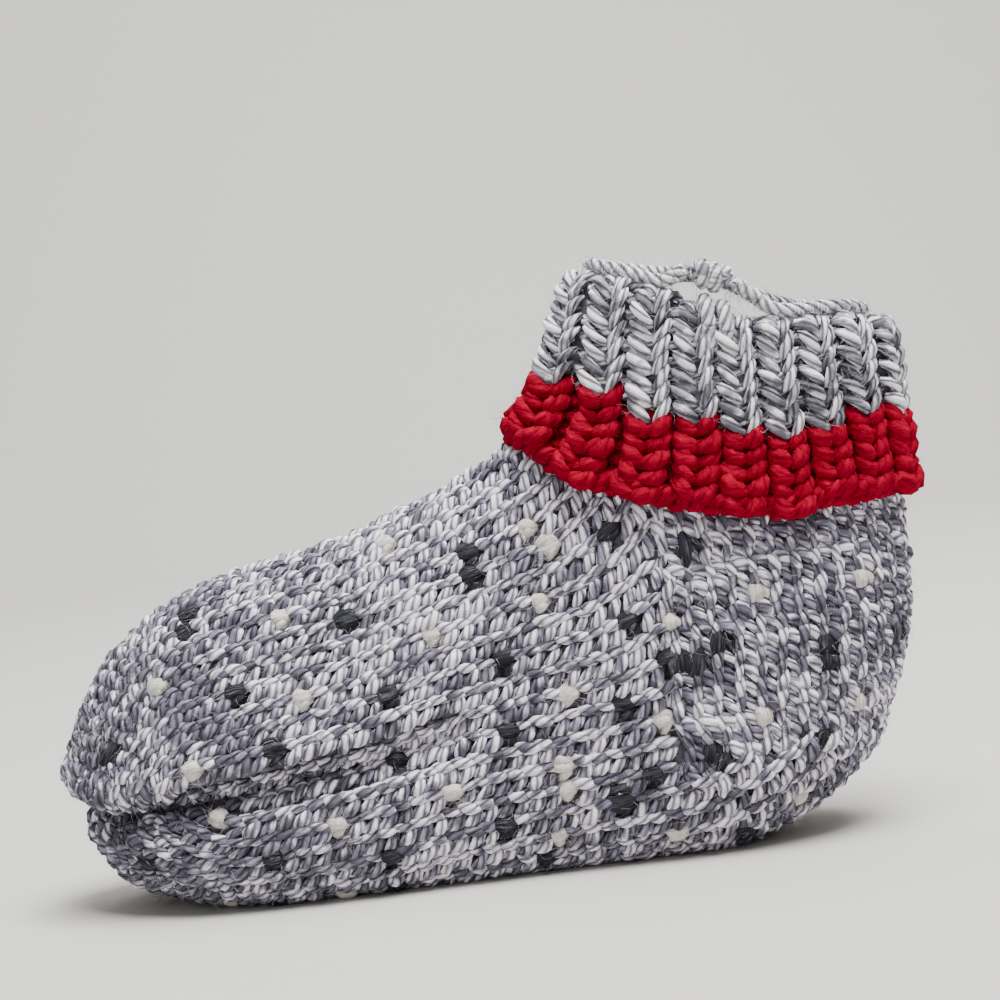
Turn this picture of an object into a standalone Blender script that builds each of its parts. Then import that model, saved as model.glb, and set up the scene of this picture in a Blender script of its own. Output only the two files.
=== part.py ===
"""Knitted bootie slipper: a hollow sock foot with a folded rib cuff and a red border.

Metres, +Z up, +X towards the toe, +Y to the slipper's left. The sole rests on z = 0 and the
slipper's box is centred on the origin.
"""
import bmesh
import bpy
import numpy as np
from mathutils import Matrix

# Driving sizes of the foot
FOOT_LENGTH = 0.2223      # toe tip to the back of the heel
BALL_WIDTH = 0.061        # widest place of the forefoot
HEEL_WIDTH = 0.054        # across the heel
INSTEP_HEIGHT = 0.1064    # floor to the bend between instep and ankle
THROAT_REACH = 0.1016     # back of the heel to that bend
ANKLE_LENGTH = 0.0771     # back of the heel to the front of the ankle's edge
ANKLE_WIDTH = 0.033       # across the ankle's edge
ANKLE_HEIGHT = 0.141      # floor to the ankle's edge in front
BACK_HEIGHT = 0.121       # floor to the ankle's edge behind
WALL = 0.004              # knitted fabric with the fleece inside it
SOLE_PRESS = 0.0015       # what the slipper's weight presses flat under the sole

# Toe crease, where the sides of the toe are decreased
CREASE_DEPTH = 0.0060
CREASE_WIDTH = 0.0050
CREASE_LEVEL = 0.325      # share of a section's height, at the toe
CREASE_CLIMB = 0.0125     # how much higher that share is with each row past CREASE_FROM_ROW
CREASE_FROM_ROW = 2.0
CREASE_END_ROW = 9.75     # row of FOOT_ROWS where the crease has faded out

# Folded cuff
CUFF_THICKNESS = 0.0055
RIM_RISE = 0.0095         # the fold above the ankle's edge
RIM_DIP = 0.0060          # how far the slack rim sags at each side
RIB_COUNT = 18
RIB_DEPTH = 0.0014
CAST_ON_BULGE = 0.0008    # the rope of the cast-on edge, proud of the ribs
CLEARANCE = 0.0003        # between two pieces that meet edge to edge
FLAP_GAP = 0.0005         # between the ankle and the cuff that lies on it

# Yarn tied through the cuff's rim
TIE_DIAMETER = 0.0038
KNOT_LENGTH = 0.012
KNOT_WIDTH = 0.010
KNOT_HEIGHT = 0.0080
KNOT_WRAP_DEPTH = 0.0006  # grooves between the wraps of the knot
KNOT_WRAPS = 3

# Mesh density
AROUND_LOW = 8            # segments from the middle of the sole to the crease line
AROUND_HIGH = 12          # segments from the crease line to the ridge
POINTS_PER_RIB = 4
LONG_STEP = 0.009         # rows further apart than this get a ring between them
SECTION_SAMPLES = 61
TIE_STEP = 0.0046         # between points along the tie

# Each row is one section of the foot, from the toe to the ankle. Its ridge end and its sole end are
# two points on the slipper's middle plane:
# ridge_along, ridge_height, sole_along, sole_height, width, widest, sole_power, ridge_power.
# ridge_along is a share of toe tip to throat, the heights are shares of INSTEP_HEIGHT, sole_along of
# FOOT_LENGTH and width of BALL_WIDTH. widest is the height of the widest place in the section.
FOOT_ROWS = [
    (0.002, 0.348, 0.007, 0.235, 0.180, 0.42, 2.1, 2.0),
    (0.020, 0.437, 0.023, 0.180, 0.360, 0.40, 2.2, 1.95),
    (0.051, 0.508, 0.044, 0.118, 0.518, 0.37, 2.3, 1.9),
    (0.101, 0.590, 0.068, 0.072, 0.656, 0.34, 2.5, 1.85),
    (0.172, 0.663, 0.104, 0.048, 0.793, 0.31, 2.7, 1.8),
    (0.263, 0.726, 0.149, 0.024, 0.911, 0.28, 3.0, 1.75),
    (0.375, 0.774, 0.208, 0.003, 0.984, 0.27, 3.2, 1.75),
    (0.499, 0.802, 0.275, 0.000, 1.000, 0.26, 3.3, 1.75),
    (0.623, 0.825, 0.352, 0.000, 0.975, 0.26, 3.3, 1.75),
    (0.731, 0.870, 0.433, 0.000, 0.920, 0.26, 3.3, 1.75),
    (0.822, 0.904, 0.518, 0.000, 0.875, 0.26, 3.2, 1.75),
    (0.901, 0.940, 0.599, 0.000, 0.860, 0.26, 3.1, 1.75),
    (0.959, 0.972, 0.680, 0.000, 0.872, 0.26, 3.0, 1.8),
]
# The same columns round the heel and up the ankle, but ridge_along is a share of throat to ankle
# front, ridge_height of INSTEP_HEIGHT to ANKLE_HEIGHT and sole_height of BACK_HEIGHT. The width is a
# share of HEEL_WIDTH in the first table and of ANKLE_WIDTH in the second.
HEEL_ROWS = [
    (0.000, 0.000, 0.761, 0.006, 1.000, 0.27, 2.9, 1.85),
    (0.163, 0.090, 0.838, 0.053, 0.993, 0.29, 2.7, 1.9),
    (0.306, 0.185, 0.898, 0.118, 0.963, 0.31, 2.6, 1.95),
    (0.429, 0.278, 0.943, 0.208, 0.907, 0.34, 2.5, 2.0),
    (0.543, 0.382, 0.977, 0.339, 0.833, 0.38, 2.4, 2.05),
    (0.649, 0.497, 0.997, 0.486, 0.759, 0.42, 2.3, 2.1),
]
ANKLE_ROWS = [
    (0.743, 0.624, 1.000, 0.633, 1.140, 0.45, 2.3, 2.2),
    (0.833, 0.757, 0.994, 0.763, 1.067, 0.48, 2.3, 2.2),
    (0.918, 0.884, 0.990, 0.886, 1.018, 0.50, 2.3, 2.3),
    (1.000, 1.000, 0.986, 1.000, 1.000, 0.50, 2.3, 2.3),
]
RIDGE_RIM_LEAN = -0.25    # how the fold leans forwards and back as it rises
BACK_RIM_LEAN = 0.07

# Rows of the table where the ankle's edge, the colour change and the cuff's lower edge run, as
# rows counted from the toe at shares of the way from the front of the ankle to the back.
EDGE_ROW = 22.0
DIP_FROM_ROW = 17.0
FRONT_TO_BACK = (0.00, 0.13, 0.26, 0.45, 0.70, 1.00)
COLOUR_CHANGE_ROWS = (18.6, 18.6, 18.85, 19.65, 20.5, 21.15)
LOWER_EDGE_ROWS = (13.8, 14.7, 16.1, 17.45, 18.9, 19.8)

# Route of each stretch of the tie, chosen by hand in millimetres from the crown of the rim midway
# along the slipper's left side. Two straps go round the rim and the knot sits on them, with a loop
# and an end on each side of it.
KNOT_PLACE = (4.3, -0.3, 11.1)
KNOT_SLOPE = -0.42        # radians about Y, along the rim's own slope
STRAP_BACK = [(2.1, 7.6, -8.8), (2.1, 7.6, -4.1), (2.1, 6.3, -0.3), (2.1, 3.6, 2.4), (2.1, 0.0, 3.4),
              (2.1, -3.6, 2.4), (2.1, -6.3, -0.3), (2.1, -7.5, -4.1), (2.1, -7.4, -9.6)]
STRAP_FRONT = [(6.5, 7.6, -6.8), (6.5, 7.6, -2.1), (6.5, 6.3, 1.7), (6.5, 3.6, 4.4), (6.5, 0.0, 5.4),
               (6.5, -3.6, 4.4), (6.5, -6.3, 1.7), (6.5, -7.5, -2.1), (6.5, -7.4, -7.6)]
LOOP_FRONT = [(10.6, 1.8, 13.7), (14.1, 0.5, 11.8), (18.1, -1.4, 11.6), (23.1, -3.2, 13.9),
              (27.3, -5.2, 15.5), (31.1, -8.5, 16.9), (33.1, -12.8, 17.7), (33.2, -17.8, 17.7),
              (30.6, -21.3, 17.3), (26.1, -20.8, 16.1), (21.1, -17.8, 14.7), (16.1, -12.8, 13.6),
              (12.6, -7.3, 13.2), (10.4, -2.7, 13.1)]
LOOP_BACK = [(-2.1, 0.8, 8.5), (-5.9, 0.9, 4.8), (-10.4, 0.3, 1.3), (-15.9, -0.9, 0.3),
             (-21.9, -2.3, 0.3), (-27.4, -4.4, 0.1), (-31.9, -7.7, -0.6), (-34.7, -11.9, -1.4),
             (-35.1, -16.7, -1.7), (-31.9, -20.9, -1.2), (-25.9, -22.3, -0.3), (-18.9, -19.8, 1.2),
             (-11.9, -15.3, 3.4), (-5.9, -9.3, 6.2), (-1.4, -3.3, 8.9)]
END_FRONT = [(7.0, -5.2, 11.8), (10.6, -11.8, 12.4), (15.1, -18.8, 12.9), (19.1, -25.3, 14.0),
             (22.3, -30.3, 14.0), (24.5, -33.9, 13.7)]
END_BACK = [(2.6, -5.7, 10.3), (-0.9, -11.8, 9.2), (-5.4, -18.8, 6.9), (-10.9, -25.3, 4.1),
            (-17.4, -30.1, 1.3), (-23.9, -31.7, 0.3), (-28.9, -30.7, -0.1)]

# Colours of the yarns, as linear RGB
MARL = (0.50, 0.50, 0.56, 1.0)
RIB_MARL = (0.44, 0.44, 0.50, 1.0)
RED = (0.42, 0.008, 0.03, 1.0)


def section_rows():
    """Every section in metres: ridge x and z, sole x and z, half width, then the shape columns."""
    toe_x = FOOT_LENGTH
    throat_x = THROAT_REACH
    ankle_x = ANKLE_LENGTH
    back = BACK_HEIGHT + SOLE_PRESS
    rise = ANKLE_HEIGHT - INSTEP_HEIGHT
    rows = []
    for along, high, sole_along, sole_high, width, *shape in FOOT_ROWS:
        rows.append([toe_x + along * (throat_x - toe_x), high * INSTEP_HEIGHT,
                     FOOT_LENGTH * (1 - sole_along), sole_high * INSTEP_HEIGHT - SOLE_PRESS,
                     width * BALL_WIDTH / 2, *shape])
    for table, full_width in ((HEEL_ROWS, HEEL_WIDTH), (ANKLE_ROWS, ANKLE_WIDTH)):
        for along, high, sole_along, sole_high, width, *shape in table:
            rows.append([throat_x + along * (ankle_x - throat_x), INSTEP_HEIGHT + high * rise,
                         FOOT_LENGTH * (1 - sole_along), sole_high * back - SOLE_PRESS,
                         width * full_width / 2, *shape])
    ridge_x, ridge_z, sole_x, sole_z, *rest = rows[-1]
    rows.append([ridge_x + RIDGE_RIM_LEAN * RIM_RISE, ridge_z + RIM_RISE,
                 sole_x + BACK_RIM_LEAN * RIM_RISE, sole_z + RIM_RISE, *rest])
    return np.array(rows)


ROWS = section_rows()


def rows_at(row):
    """Catmull-Rom blend of the section table at fractional row numbers."""
    padded = np.vstack([2 * ROWS[0] - ROWS[1], ROWS, 2 * ROWS[-1] - ROWS[-2]])
    first = np.clip(np.floor(row).astype(int), 0, len(ROWS) - 2)
    step = (row - first)[..., None]
    before, start, end, after = (padded[first + i] for i in range(4))
    return 0.5 * (2 * start + (end - before) * step
                  + (2 * before - 5 * start + 4 * end - after) * step ** 2
                  + (3 * start - before - 3 * end + after) * step ** 3)


def half_section(row):
    """One side of each section from sole to ridge: section values, samples across, up and along."""
    values = rows_at(row)
    half, widest, sole_power, ridge_power = (values[..., i, None] for i in (4, 5, 6, 7))
    height = np.hypot(values[..., 0] - values[..., 2], values[..., 1] - values[..., 3])[..., None]
    turn = np.linspace(0, np.pi, SECTION_SAMPLES)
    low = turn <= np.pi / 2
    sine, cosine = np.abs(np.sin(turn)), np.abs(np.cos(turn))
    across = half * np.where(low, sine ** (2 / sole_power), sine ** (2 / ridge_power))
    up = np.where(low, widest * (1 - cosine ** (2 / sole_power)),
                  widest + (1 - widest) * cosine ** (2 / ridge_power))
    steps = np.hypot(np.diff(across), np.diff(up * height))
    along = np.concatenate([np.zeros_like(height), np.cumsum(steps, axis=-1)], axis=-1)
    return values, across, up, along


def sample(curve, values, at):
    """Straight-line reading of each curve at one value, where curve rises along its last axis."""
    index = np.clip((curve <= at[..., None]).sum(axis=-1) - 1, 0, curve.shape[-1] - 2)[..., None]
    low = np.take_along_axis(curve, index, -1)[..., 0]
    high = np.take_along_axis(curve, index + 1, -1)[..., 0]
    share = (at - low) / np.maximum(high - low, 1e-12)
    first = np.take_along_axis(values, index, -1)[..., 0]
    second = np.take_along_axis(values, index + 1, -1)[..., 0]
    return first + share * (second - first)


def crease_level(row):
    """Share of a section's height at which the crease line runs, which climbs away from the toe."""
    return CREASE_LEVEL + CREASE_CLIMB * (np.clip(row, CREASE_FROM_ROW, CREASE_END_ROW) - CREASE_FROM_ROW)


def crease_share(row):
    """Share of a half section, from the sole, at which the crease line runs."""
    _, _, up, along = half_section(row)
    return sample(up, along, crease_level(row)) / along[..., -1]


def read_at(share, values, along):
    """Value at a share of the way round, from the samples of one side of the section."""
    return sample(along, values, np.where(share <= 1, share, 2 - share) * along[..., -1])


def surface(row, share):
    """Points of the foot's plain outer form. share runs 0 to 1 up the left side, 1 to 2 down."""
    values, across, up, along = half_section(row)
    y = read_at(share, across, along) * np.where(share <= 1, 1.0, -1.0)
    level = read_at(share, up, along)
    x = values[..., 2] + level * (values[..., 0] - values[..., 2])
    z = values[..., 3] + level * (values[..., 1] - values[..., 3])
    return np.stack([x, y, z], axis=-1)


def directions(row, share):
    """Unit vectors out of the surface and along it towards the rim."""
    small = 0.01
    onward = surface(row + small, share) - surface(row - small, share)
    around = surface(row, np.mod(share + small, 2)) - surface(row, np.mod(share - small, 2))
    out = np.cross(onward, around)
    out /= np.linalg.norm(out, axis=-1, keepdims=True)
    onward /= np.linalg.norm(onward, axis=-1, keepdims=True)
    return out, onward


def crease(row, share):
    """Depth of the toe crease, fading from the tip to the middle of the foot."""
    values, _, up, along = half_section(row)
    height = np.hypot(values[..., 0] - values[..., 2], values[..., 1] - values[..., 3])
    distance = (read_at(share, up, along) - crease_level(row)) * height
    fade = np.clip(1 - row / CREASE_END_ROW, 0, 1) ** 0.8
    return CREASE_DEPTH * fade * np.exp(-(distance / CREASE_WIDTH) ** 2)


def foot_points(row, share, inside):
    """The foot's skin, or its inner face, resting flat on the floor or on the sole's fabric."""
    out, _ = directions(row, share)
    points = surface(row, share) - out * (crease(row, share) + inside)[..., None]
    points[..., 2] = np.maximum(points[..., 2], inside)
    return points


def around_shares(row):
    """Shares of the foot's points round one ring, with a point on each crease line."""
    line = crease_share(row)
    low = line[..., None] * np.arange(AROUND_LOW) / AROUND_LOW
    high = line[..., None] + (1 - line[..., None]) * np.arange(AROUND_HIGH + 1) / AROUND_HIGH
    left = np.concatenate([low, high], axis=-1)
    return np.concatenate([left, 2 - left[..., -2:0:-1]], axis=-1)


def dipped(row, share):
    """Row numbers bent down towards the sides near the ankle's edge, where the rim sags."""
    last, top = rows_at(np.array(EDGE_ROW - 1)), rows_at(np.array(EDGE_ROW))
    row_height = (top[1] + top[3] - last[1] - last[3]) / 2
    sag = RIM_DIP / row_height * np.sin(np.pi * np.mod(share, 1)) ** 4
    strength = np.clip((row - DIP_FROM_ROW) / (EDGE_ROW - DIP_FROM_ROW), 0, 1)
    return row - sag * strength


def ring_rows():
    """Rows of the foot's rings: each row of the table, and between rows that lie far apart."""
    rows = []
    for row in range(int(EDGE_ROW)):
        rows.append(float(row))
        gap = np.linalg.norm(ROWS[row + 1, 2:4] - ROWS[row, 2:4])
        if gap > LONG_STEP:
            rows.append(row + 0.5)
    rows.append(EDGE_ROW)
    return rows


def faces_between(bm, rings):
    """Quads between each ring of vertices and the next."""
    for ring, following in zip(rings, rings[1:]):
        count = len(ring)
        for i in range(count):
            j = (i + 1) % count
            bm.faces.new((ring[i], ring[j], following[j], following[i]))


def close_toe(bm, ring):
    """Fan the toe's first ring to a point between its two crease lines."""
    tip = bm.verts.new((ring[AROUND_LOW].co + ring[-AROUND_LOW].co) / 2)
    for vertex, following in zip(ring, ring[1:] + ring[:1]):
        bm.faces.new((vertex, following, tip))


def wool(name, colour):
    """Matt yarn."""
    material = bpy.data.materials.new(name)
    material.use_nodes = True
    shader = material.node_tree.nodes["Principled BSDF"]
    shader.inputs["Base Color"].default_value = colour
    shader.inputs["Roughness"].default_value = 0.95
    shader.inputs["Metallic"].default_value = 0.0
    return material


def finish_object(bm, name, colour, collection):
    """Make the object of one piece, with its own material."""
    bmesh.ops.recalc_face_normals(bm, faces=bm.faces)
    mesh = bpy.data.meshes.new(name)
    bm.to_mesh(mesh)
    bm.free()
    mesh.shade_smooth()
    mesh.materials.append(wool(name, colour))
    piece = bpy.data.objects.new(name, mesh)
    collection.objects.link(piece)
    return piece


def knitted_foot(collection):
    """Ankle, heel, foot, toe and sole: one skin out to the edge and back along the inside."""
    bm = bmesh.new()
    rings = []
    for inside, rows in ((0.0, ring_rows()), (WALL, ring_rows()[::-1])):
        for row in rows:
            shares = around_shares(np.array(row))
            bent = dipped(np.full(shares.shape, row), shares)
            points = foot_points(bent, shares, inside)
            rings.append([bm.verts.new(point) for point in points])
    faces_between(bm, rings)
    for ring in (rings[0], rings[-1]):
        close_toe(bm, ring)
    return finish_object(bm, "knitted_foot", MARL, collection)


def cuff_shares():
    """Shares round the cuff, a few for each rib, starting in a groove at the back."""
    count = RIB_COUNT * POINTS_PER_RIB
    return 2 * np.arange(count) / count


def rib_relief(shares):
    """How far each place round the cuff stands back from the crowns of the ribs."""
    return RIB_DEPTH * np.cos(np.pi * RIB_COUNT * shares / 2) ** 4


def line_row(shares, line_rows):
    """Row at which a line round the cuff runs, from its rows at the front, sides and back."""
    from_front = 1 - np.where(shares <= 1, shares, 2 - shares)
    return np.interp(from_front, FRONT_TO_BACK, line_rows)


def cuff_loop(row, shares, out, onward):
    """One loop of points round the cuff, moved out of the ankle's form and onward along it."""
    bent = dipped(row, shares)
    normal, tangent = directions(bent, shares)
    return surface(bent, shares) + normal * np.broadcast_to(out, shares.shape)[..., None] \
        + tangent * onward


def closed_ring(name, loops, colour, collection):
    """A ring-shaped solid from the loops of points round its profile."""
    bm = bmesh.new()
    rings = [[bm.verts.new(point) for point in loop] for loop in loops]
    faces_between(bm, rings + rings[:1])
    return finish_object(bm, name, colour, collection)


def rib_cuff(collection):
    """Grey rib: continues the ankle's wall, rolls over the rim and hangs down outside."""
    shares = cuff_shares()
    relief = rib_relief(shares)
    outer = FLAP_GAP + CUFF_THICKNESS - relief
    colour_row = line_row(shares, COLOUR_CHANGE_ROWS)
    edge = np.full(shares.shape, EDGE_ROW)
    roll = (WALL + FLAP_GAP + CUFF_THICKNESS) / 2
    straight = RIM_RISE - roll
    loops = [cuff_loop(edge, shares, -WALL, CLEARANCE)]
    for turn in np.linspace(0, np.pi, 6):
        share = (1 - np.cos(turn)) / 2
        out = -WALL + share * (outer + WALL)
        loops.append(cuff_loop(edge, shares, out, straight + roll * np.sin(turn)))
    for share in (0.0, 0.34, 0.67, 1.0):
        loops.append(cuff_loop(edge + share * (colour_row - edge), shares, outer, 0.0))
    for share in (1.0, 0.67, 0.34):
        loops.append(cuff_loop(edge + share * (colour_row - edge), shares, FLAP_GAP, 0.0))
    loops.append(cuff_loop(edge, shares, FLAP_GAP, CLEARANCE))
    return closed_ring("rib_cuff", loops, RIB_MARL, collection)


def red_border(collection):
    """Red rib below the grey one, ending in the rounded rope of the cast-on edge."""
    shares = cuff_shares()
    relief = rib_relief(shares)
    outer = FLAP_GAP + CUFF_THICKNESS - relief
    top = line_row(shares, COLOUR_CHANGE_ROWS)
    bottom = line_row(shares, LOWER_EDGE_ROWS)
    middle = FLAP_GAP + CUFF_THICKNESS / 2
    loops = [cuff_loop(top, shares, FLAP_GAP, -CLEARANCE), cuff_loop(top, shares, outer, -CLEARANCE)]
    for share in (0.25, 0.5, 0.78):
        loops.append(cuff_loop(top + share * (bottom - top), shares, outer, 0.0))
    rope = FLAP_GAP + CUFF_THICKNESS + CAST_ON_BULGE - relief / 2
    loops.append(cuff_loop(bottom, shares, rope, CUFF_THICKNESS / 2))
    loops.append(cuff_loop(bottom, shares, middle, 0.0))
    loops.append(cuff_loop(bottom, shares, FLAP_GAP, CUFF_THICKNESS / 2))
    for share in (0.78, 0.5, 0.25):
        loops.append(cuff_loop(top + share * (bottom - top), shares, FLAP_GAP, 0.0))
    return closed_ring("red_border", loops, RED, collection)


def centre_on_floor(pieces):
    """Centre the slipper's box over the origin, and give the move that did it."""
    corners = np.array([vertex.co for piece in pieces for vertex in piece.data.vertices])
    move = -(corners.min(axis=0) + corners.max(axis=0)) / 2
    move[2] = 0.0
    for piece in pieces:
        piece.data.transform(Matrix.Translation(move))
    return move


def rim_crown():
    """Crown of the rim midway along the left side, before the slipper is centred."""
    roll = (WALL + FLAP_GAP + CUFF_THICKNESS) / 2
    crown = cuff_loop(np.array([EDGE_ROW]), np.array([0.5]), roll - WALL, RIM_RISE)
    return crown[0]


def smooth_route(route):
    """Points at even steps along one smooth curve through a route's points, in metres."""
    points = np.array(route) / 1000
    padded = np.vstack([2 * points[0] - points[1], points, 2 * points[-1] - points[-2]])
    fine = []
    for before, start, end, after in zip(padded, padded[1:], padded[2:], padded[3:]):
        for step in np.linspace(0, 1, 12, endpoint=False):
            fine.append(0.5 * (2 * start + (end - before) * step
                               + (2 * before - 5 * start + 4 * end - after) * step ** 2
                               + (3 * start - before - 3 * end + after) * step ** 3))
    fine.append(points[-1])
    fine = np.array(fine)
    along = np.concatenate([[0], np.cumsum(np.linalg.norm(np.diff(fine, axis=0), axis=1))])
    even = np.linspace(0, along[-1], round(along[-1] / TIE_STEP) + 1)
    return np.stack([np.interp(even, along, fine[:, axis]) for axis in range(3)], axis=-1)


def tie_yarn(name, route, place, collection):
    """One stretch of the tie, as a round cord, from the rim's crown at place."""
    points = smooth_route(route) + place
    curve = bpy.data.curves.new(name, "CURVE")
    curve.dimensions = "3D"
    curve.bevel_depth = TIE_DIAMETER / 2
    curve.bevel_resolution = 2
    curve.use_fill_caps = True
    spline = curve.splines.new("POLY")
    spline.points.add(len(points) - 1)
    for target, point in zip(spline.points, points):
        target.co = (*point, 1.0)
    curve.materials.append(wool(name, RIB_MARL))
    piece = bpy.data.objects.new(name, curve)
    collection.objects.link(piece)
    return piece


def tie_knot(place, collection):
    """The knot as one lump with the grooves between its wraps."""
    bm = bmesh.new()
    bmesh.ops.create_uvsphere(bm, u_segments=14, v_segments=12, radius=0.5)
    half_sizes = np.array([KNOT_LENGTH, KNOT_WIDTH, KNOT_HEIGHT]) / 2
    for vertex in bm.verts:
        direction = np.array(vertex.co) * 2
        wrap = np.sin(np.pi * KNOT_WRAPS * (direction[0] + 1) / 2) ** 2
        vertex.co = direction * (half_sizes - KNOT_WRAP_DEPTH * (1 - wrap))
    piece = finish_object(bm, "tie_knot", RIB_MARL, collection)
    piece.location = np.array(KNOT_PLACE) / 1000 + place
    piece.rotation_euler.y = KNOT_SLOPE
    return piece


def main():
    for old in list(bpy.data.objects):
        bpy.data.objects.remove(old)
    parts = bpy.data.collections.new("bootie_slipper")
    bpy.context.scene.collection.children.link(parts)
    pieces = [knitted_foot(parts), rib_cuff(parts), red_border(parts)]
    crown = rim_crown() + centre_on_floor(pieces)
    tie_knot(crown, parts)
    for name, route in (("tie_strap_back", STRAP_BACK), ("tie_strap_front", STRAP_FRONT),
                        ("tie_loop_front", LOOP_FRONT), ("tie_loop_back", LOOP_BACK),
                        ("tie_end_front", END_FRONT), ("tie_end_back", END_BACK)):
        tie_yarn(name, route, crown, parts)


main()
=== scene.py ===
"""Knitted bootie slipper: stitches, thrums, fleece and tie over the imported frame.

Metres, +Z up, +X towards the toe, +Y to the slipper's left. Every stitch lies on one of a few
patches of knitting, and a patch is a fan of columns that follow the foot's form.
"""
import math

import bmesh
import bpy
import numpy as np
from mathutils import Matrix, Vector
from mathutils.bvhtree import BVHTree


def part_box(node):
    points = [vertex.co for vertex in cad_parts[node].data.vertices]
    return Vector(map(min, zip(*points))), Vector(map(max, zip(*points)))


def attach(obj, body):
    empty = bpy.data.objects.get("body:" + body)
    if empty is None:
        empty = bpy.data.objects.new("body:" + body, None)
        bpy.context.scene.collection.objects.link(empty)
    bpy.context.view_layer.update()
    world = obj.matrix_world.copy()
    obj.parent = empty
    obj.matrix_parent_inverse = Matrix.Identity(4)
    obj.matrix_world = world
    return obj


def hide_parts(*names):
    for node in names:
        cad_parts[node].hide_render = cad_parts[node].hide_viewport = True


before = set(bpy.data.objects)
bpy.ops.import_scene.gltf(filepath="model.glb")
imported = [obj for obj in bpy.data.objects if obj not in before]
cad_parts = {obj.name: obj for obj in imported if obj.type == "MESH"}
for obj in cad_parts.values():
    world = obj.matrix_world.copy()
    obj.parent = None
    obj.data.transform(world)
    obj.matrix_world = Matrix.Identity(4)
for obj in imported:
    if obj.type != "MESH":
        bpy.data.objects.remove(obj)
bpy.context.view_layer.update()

# The foot's form, as the source of the solids has it
FOOT_LENGTH = 0.2223
BALL_WIDTH = 0.061
HEEL_WIDTH = 0.054
INSTEP_HEIGHT = 0.1064
THROAT_REACH = 0.1016
ANKLE_LENGTH = 0.0771
ANKLE_WIDTH = 0.033
ANKLE_HEIGHT = 0.141
BACK_HEIGHT = 0.121
TOE_REACH = 0.2219        # how far in front of the heel's back the foot's solid ends
WALL = 0.004
SOLE_PRESS = 0.0015
RIM_RISE = 0.0095
RIM_DIP = 0.0060
CUFF_THICKNESS = 0.0055
FLAP_GAP = 0.0005
RIB_COUNT = 18
FOOT_ROWS = [
    (0.002, 0.348, 0.007, 0.235, 0.180, 0.42, 2.1, 2.0),
    (0.020, 0.437, 0.023, 0.180, 0.360, 0.40, 2.2, 1.95),
    (0.051, 0.508, 0.044, 0.118, 0.518, 0.37, 2.3, 1.9),
    (0.101, 0.590, 0.068, 0.072, 0.656, 0.34, 2.5, 1.85),
    (0.172, 0.663, 0.104, 0.048, 0.793, 0.31, 2.7, 1.8),
    (0.263, 0.726, 0.149, 0.024, 0.911, 0.28, 3.0, 1.75),
    (0.375, 0.774, 0.208, 0.003, 0.984, 0.27, 3.2, 1.75),
    (0.499, 0.802, 0.275, 0.000, 1.000, 0.26, 3.3, 1.75),
    (0.623, 0.825, 0.352, 0.000, 0.975, 0.26, 3.3, 1.75),
    (0.731, 0.870, 0.433, 0.000, 0.920, 0.26, 3.3, 1.75),
    (0.822, 0.904, 0.518, 0.000, 0.875, 0.26, 3.2, 1.75),
    (0.901, 0.940, 0.599, 0.000, 0.860, 0.26, 3.1, 1.75),
    (0.959, 0.972, 0.680, 0.000, 0.872, 0.26, 3.0, 1.8),
]
HEEL_ROWS = [
    (0.000, 0.000, 0.761, 0.006, 1.000, 0.27, 2.9, 1.85),
    (0.163, 0.090, 0.838, 0.053, 0.993, 0.29, 2.7, 1.9),
    (0.306, 0.185, 0.898, 0.118, 0.963, 0.31, 2.6, 1.95),
    (0.429, 0.278, 0.943, 0.208, 0.907, 0.34, 2.5, 2.0),
    (0.543, 0.382, 0.977, 0.339, 0.833, 0.38, 2.4, 2.05),
    (0.649, 0.497, 0.997, 0.486, 0.759, 0.42, 2.3, 2.1),
]
ANKLE_ROWS = [
    (0.743, 0.624, 1.000, 0.633, 1.140, 0.45, 2.3, 2.2),
    (0.833, 0.757, 0.994, 0.763, 1.067, 0.48, 2.3, 2.2),
    (0.918, 0.884, 0.990, 0.886, 1.018, 0.50, 2.3, 2.3),
    (1.000, 1.000, 0.986, 1.000, 1.000, 0.50, 2.3, 2.3),
]
# Columns of the finished section table
RIDGE_X, RIDGE_Z, SOLE_X, SOLE_Z, HALF_WIDTH, WIDEST, SOLE_POWER, RIDGE_POWER = range(8)
RIDGE_RIM_LEAN = -0.25
BACK_RIM_LEAN = 0.07
EDGE_ROW = 22.0
DIP_FROM_ROW = 17.0
FRONT_TO_BACK = (0.00, 0.13, 0.26, 0.45, 0.70, 1.00)
COLOUR_CHANGE_ROWS = (18.6, 18.6, 18.85, 19.65, 20.5, 21.15)
LOWER_EDGE_ROWS = (13.8, 14.7, 16.1, 17.45, 18.9, 19.8)
SECTION_SAMPLES = 61
SMALL = 0.01              # step in rows or shares over which a direction is read

# The toe crease, deeper here than in the solid, with the upper lobe lying over the lower one
CREASE_DEPTH = 0.0098
CREASE_WIDTH = 0.0040
CREASE_LEVEL = 0.325      # share of a section's height at the toe, more by CREASE_CLIMB with each row
CREASE_CLIMB = 0.0125
CREASE_FROM_ROW = 2.0
CREASE_END_ROW = 9.75
UPPER_LIP = 0.0022
LIP_WIDTH = 0.0050

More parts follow.
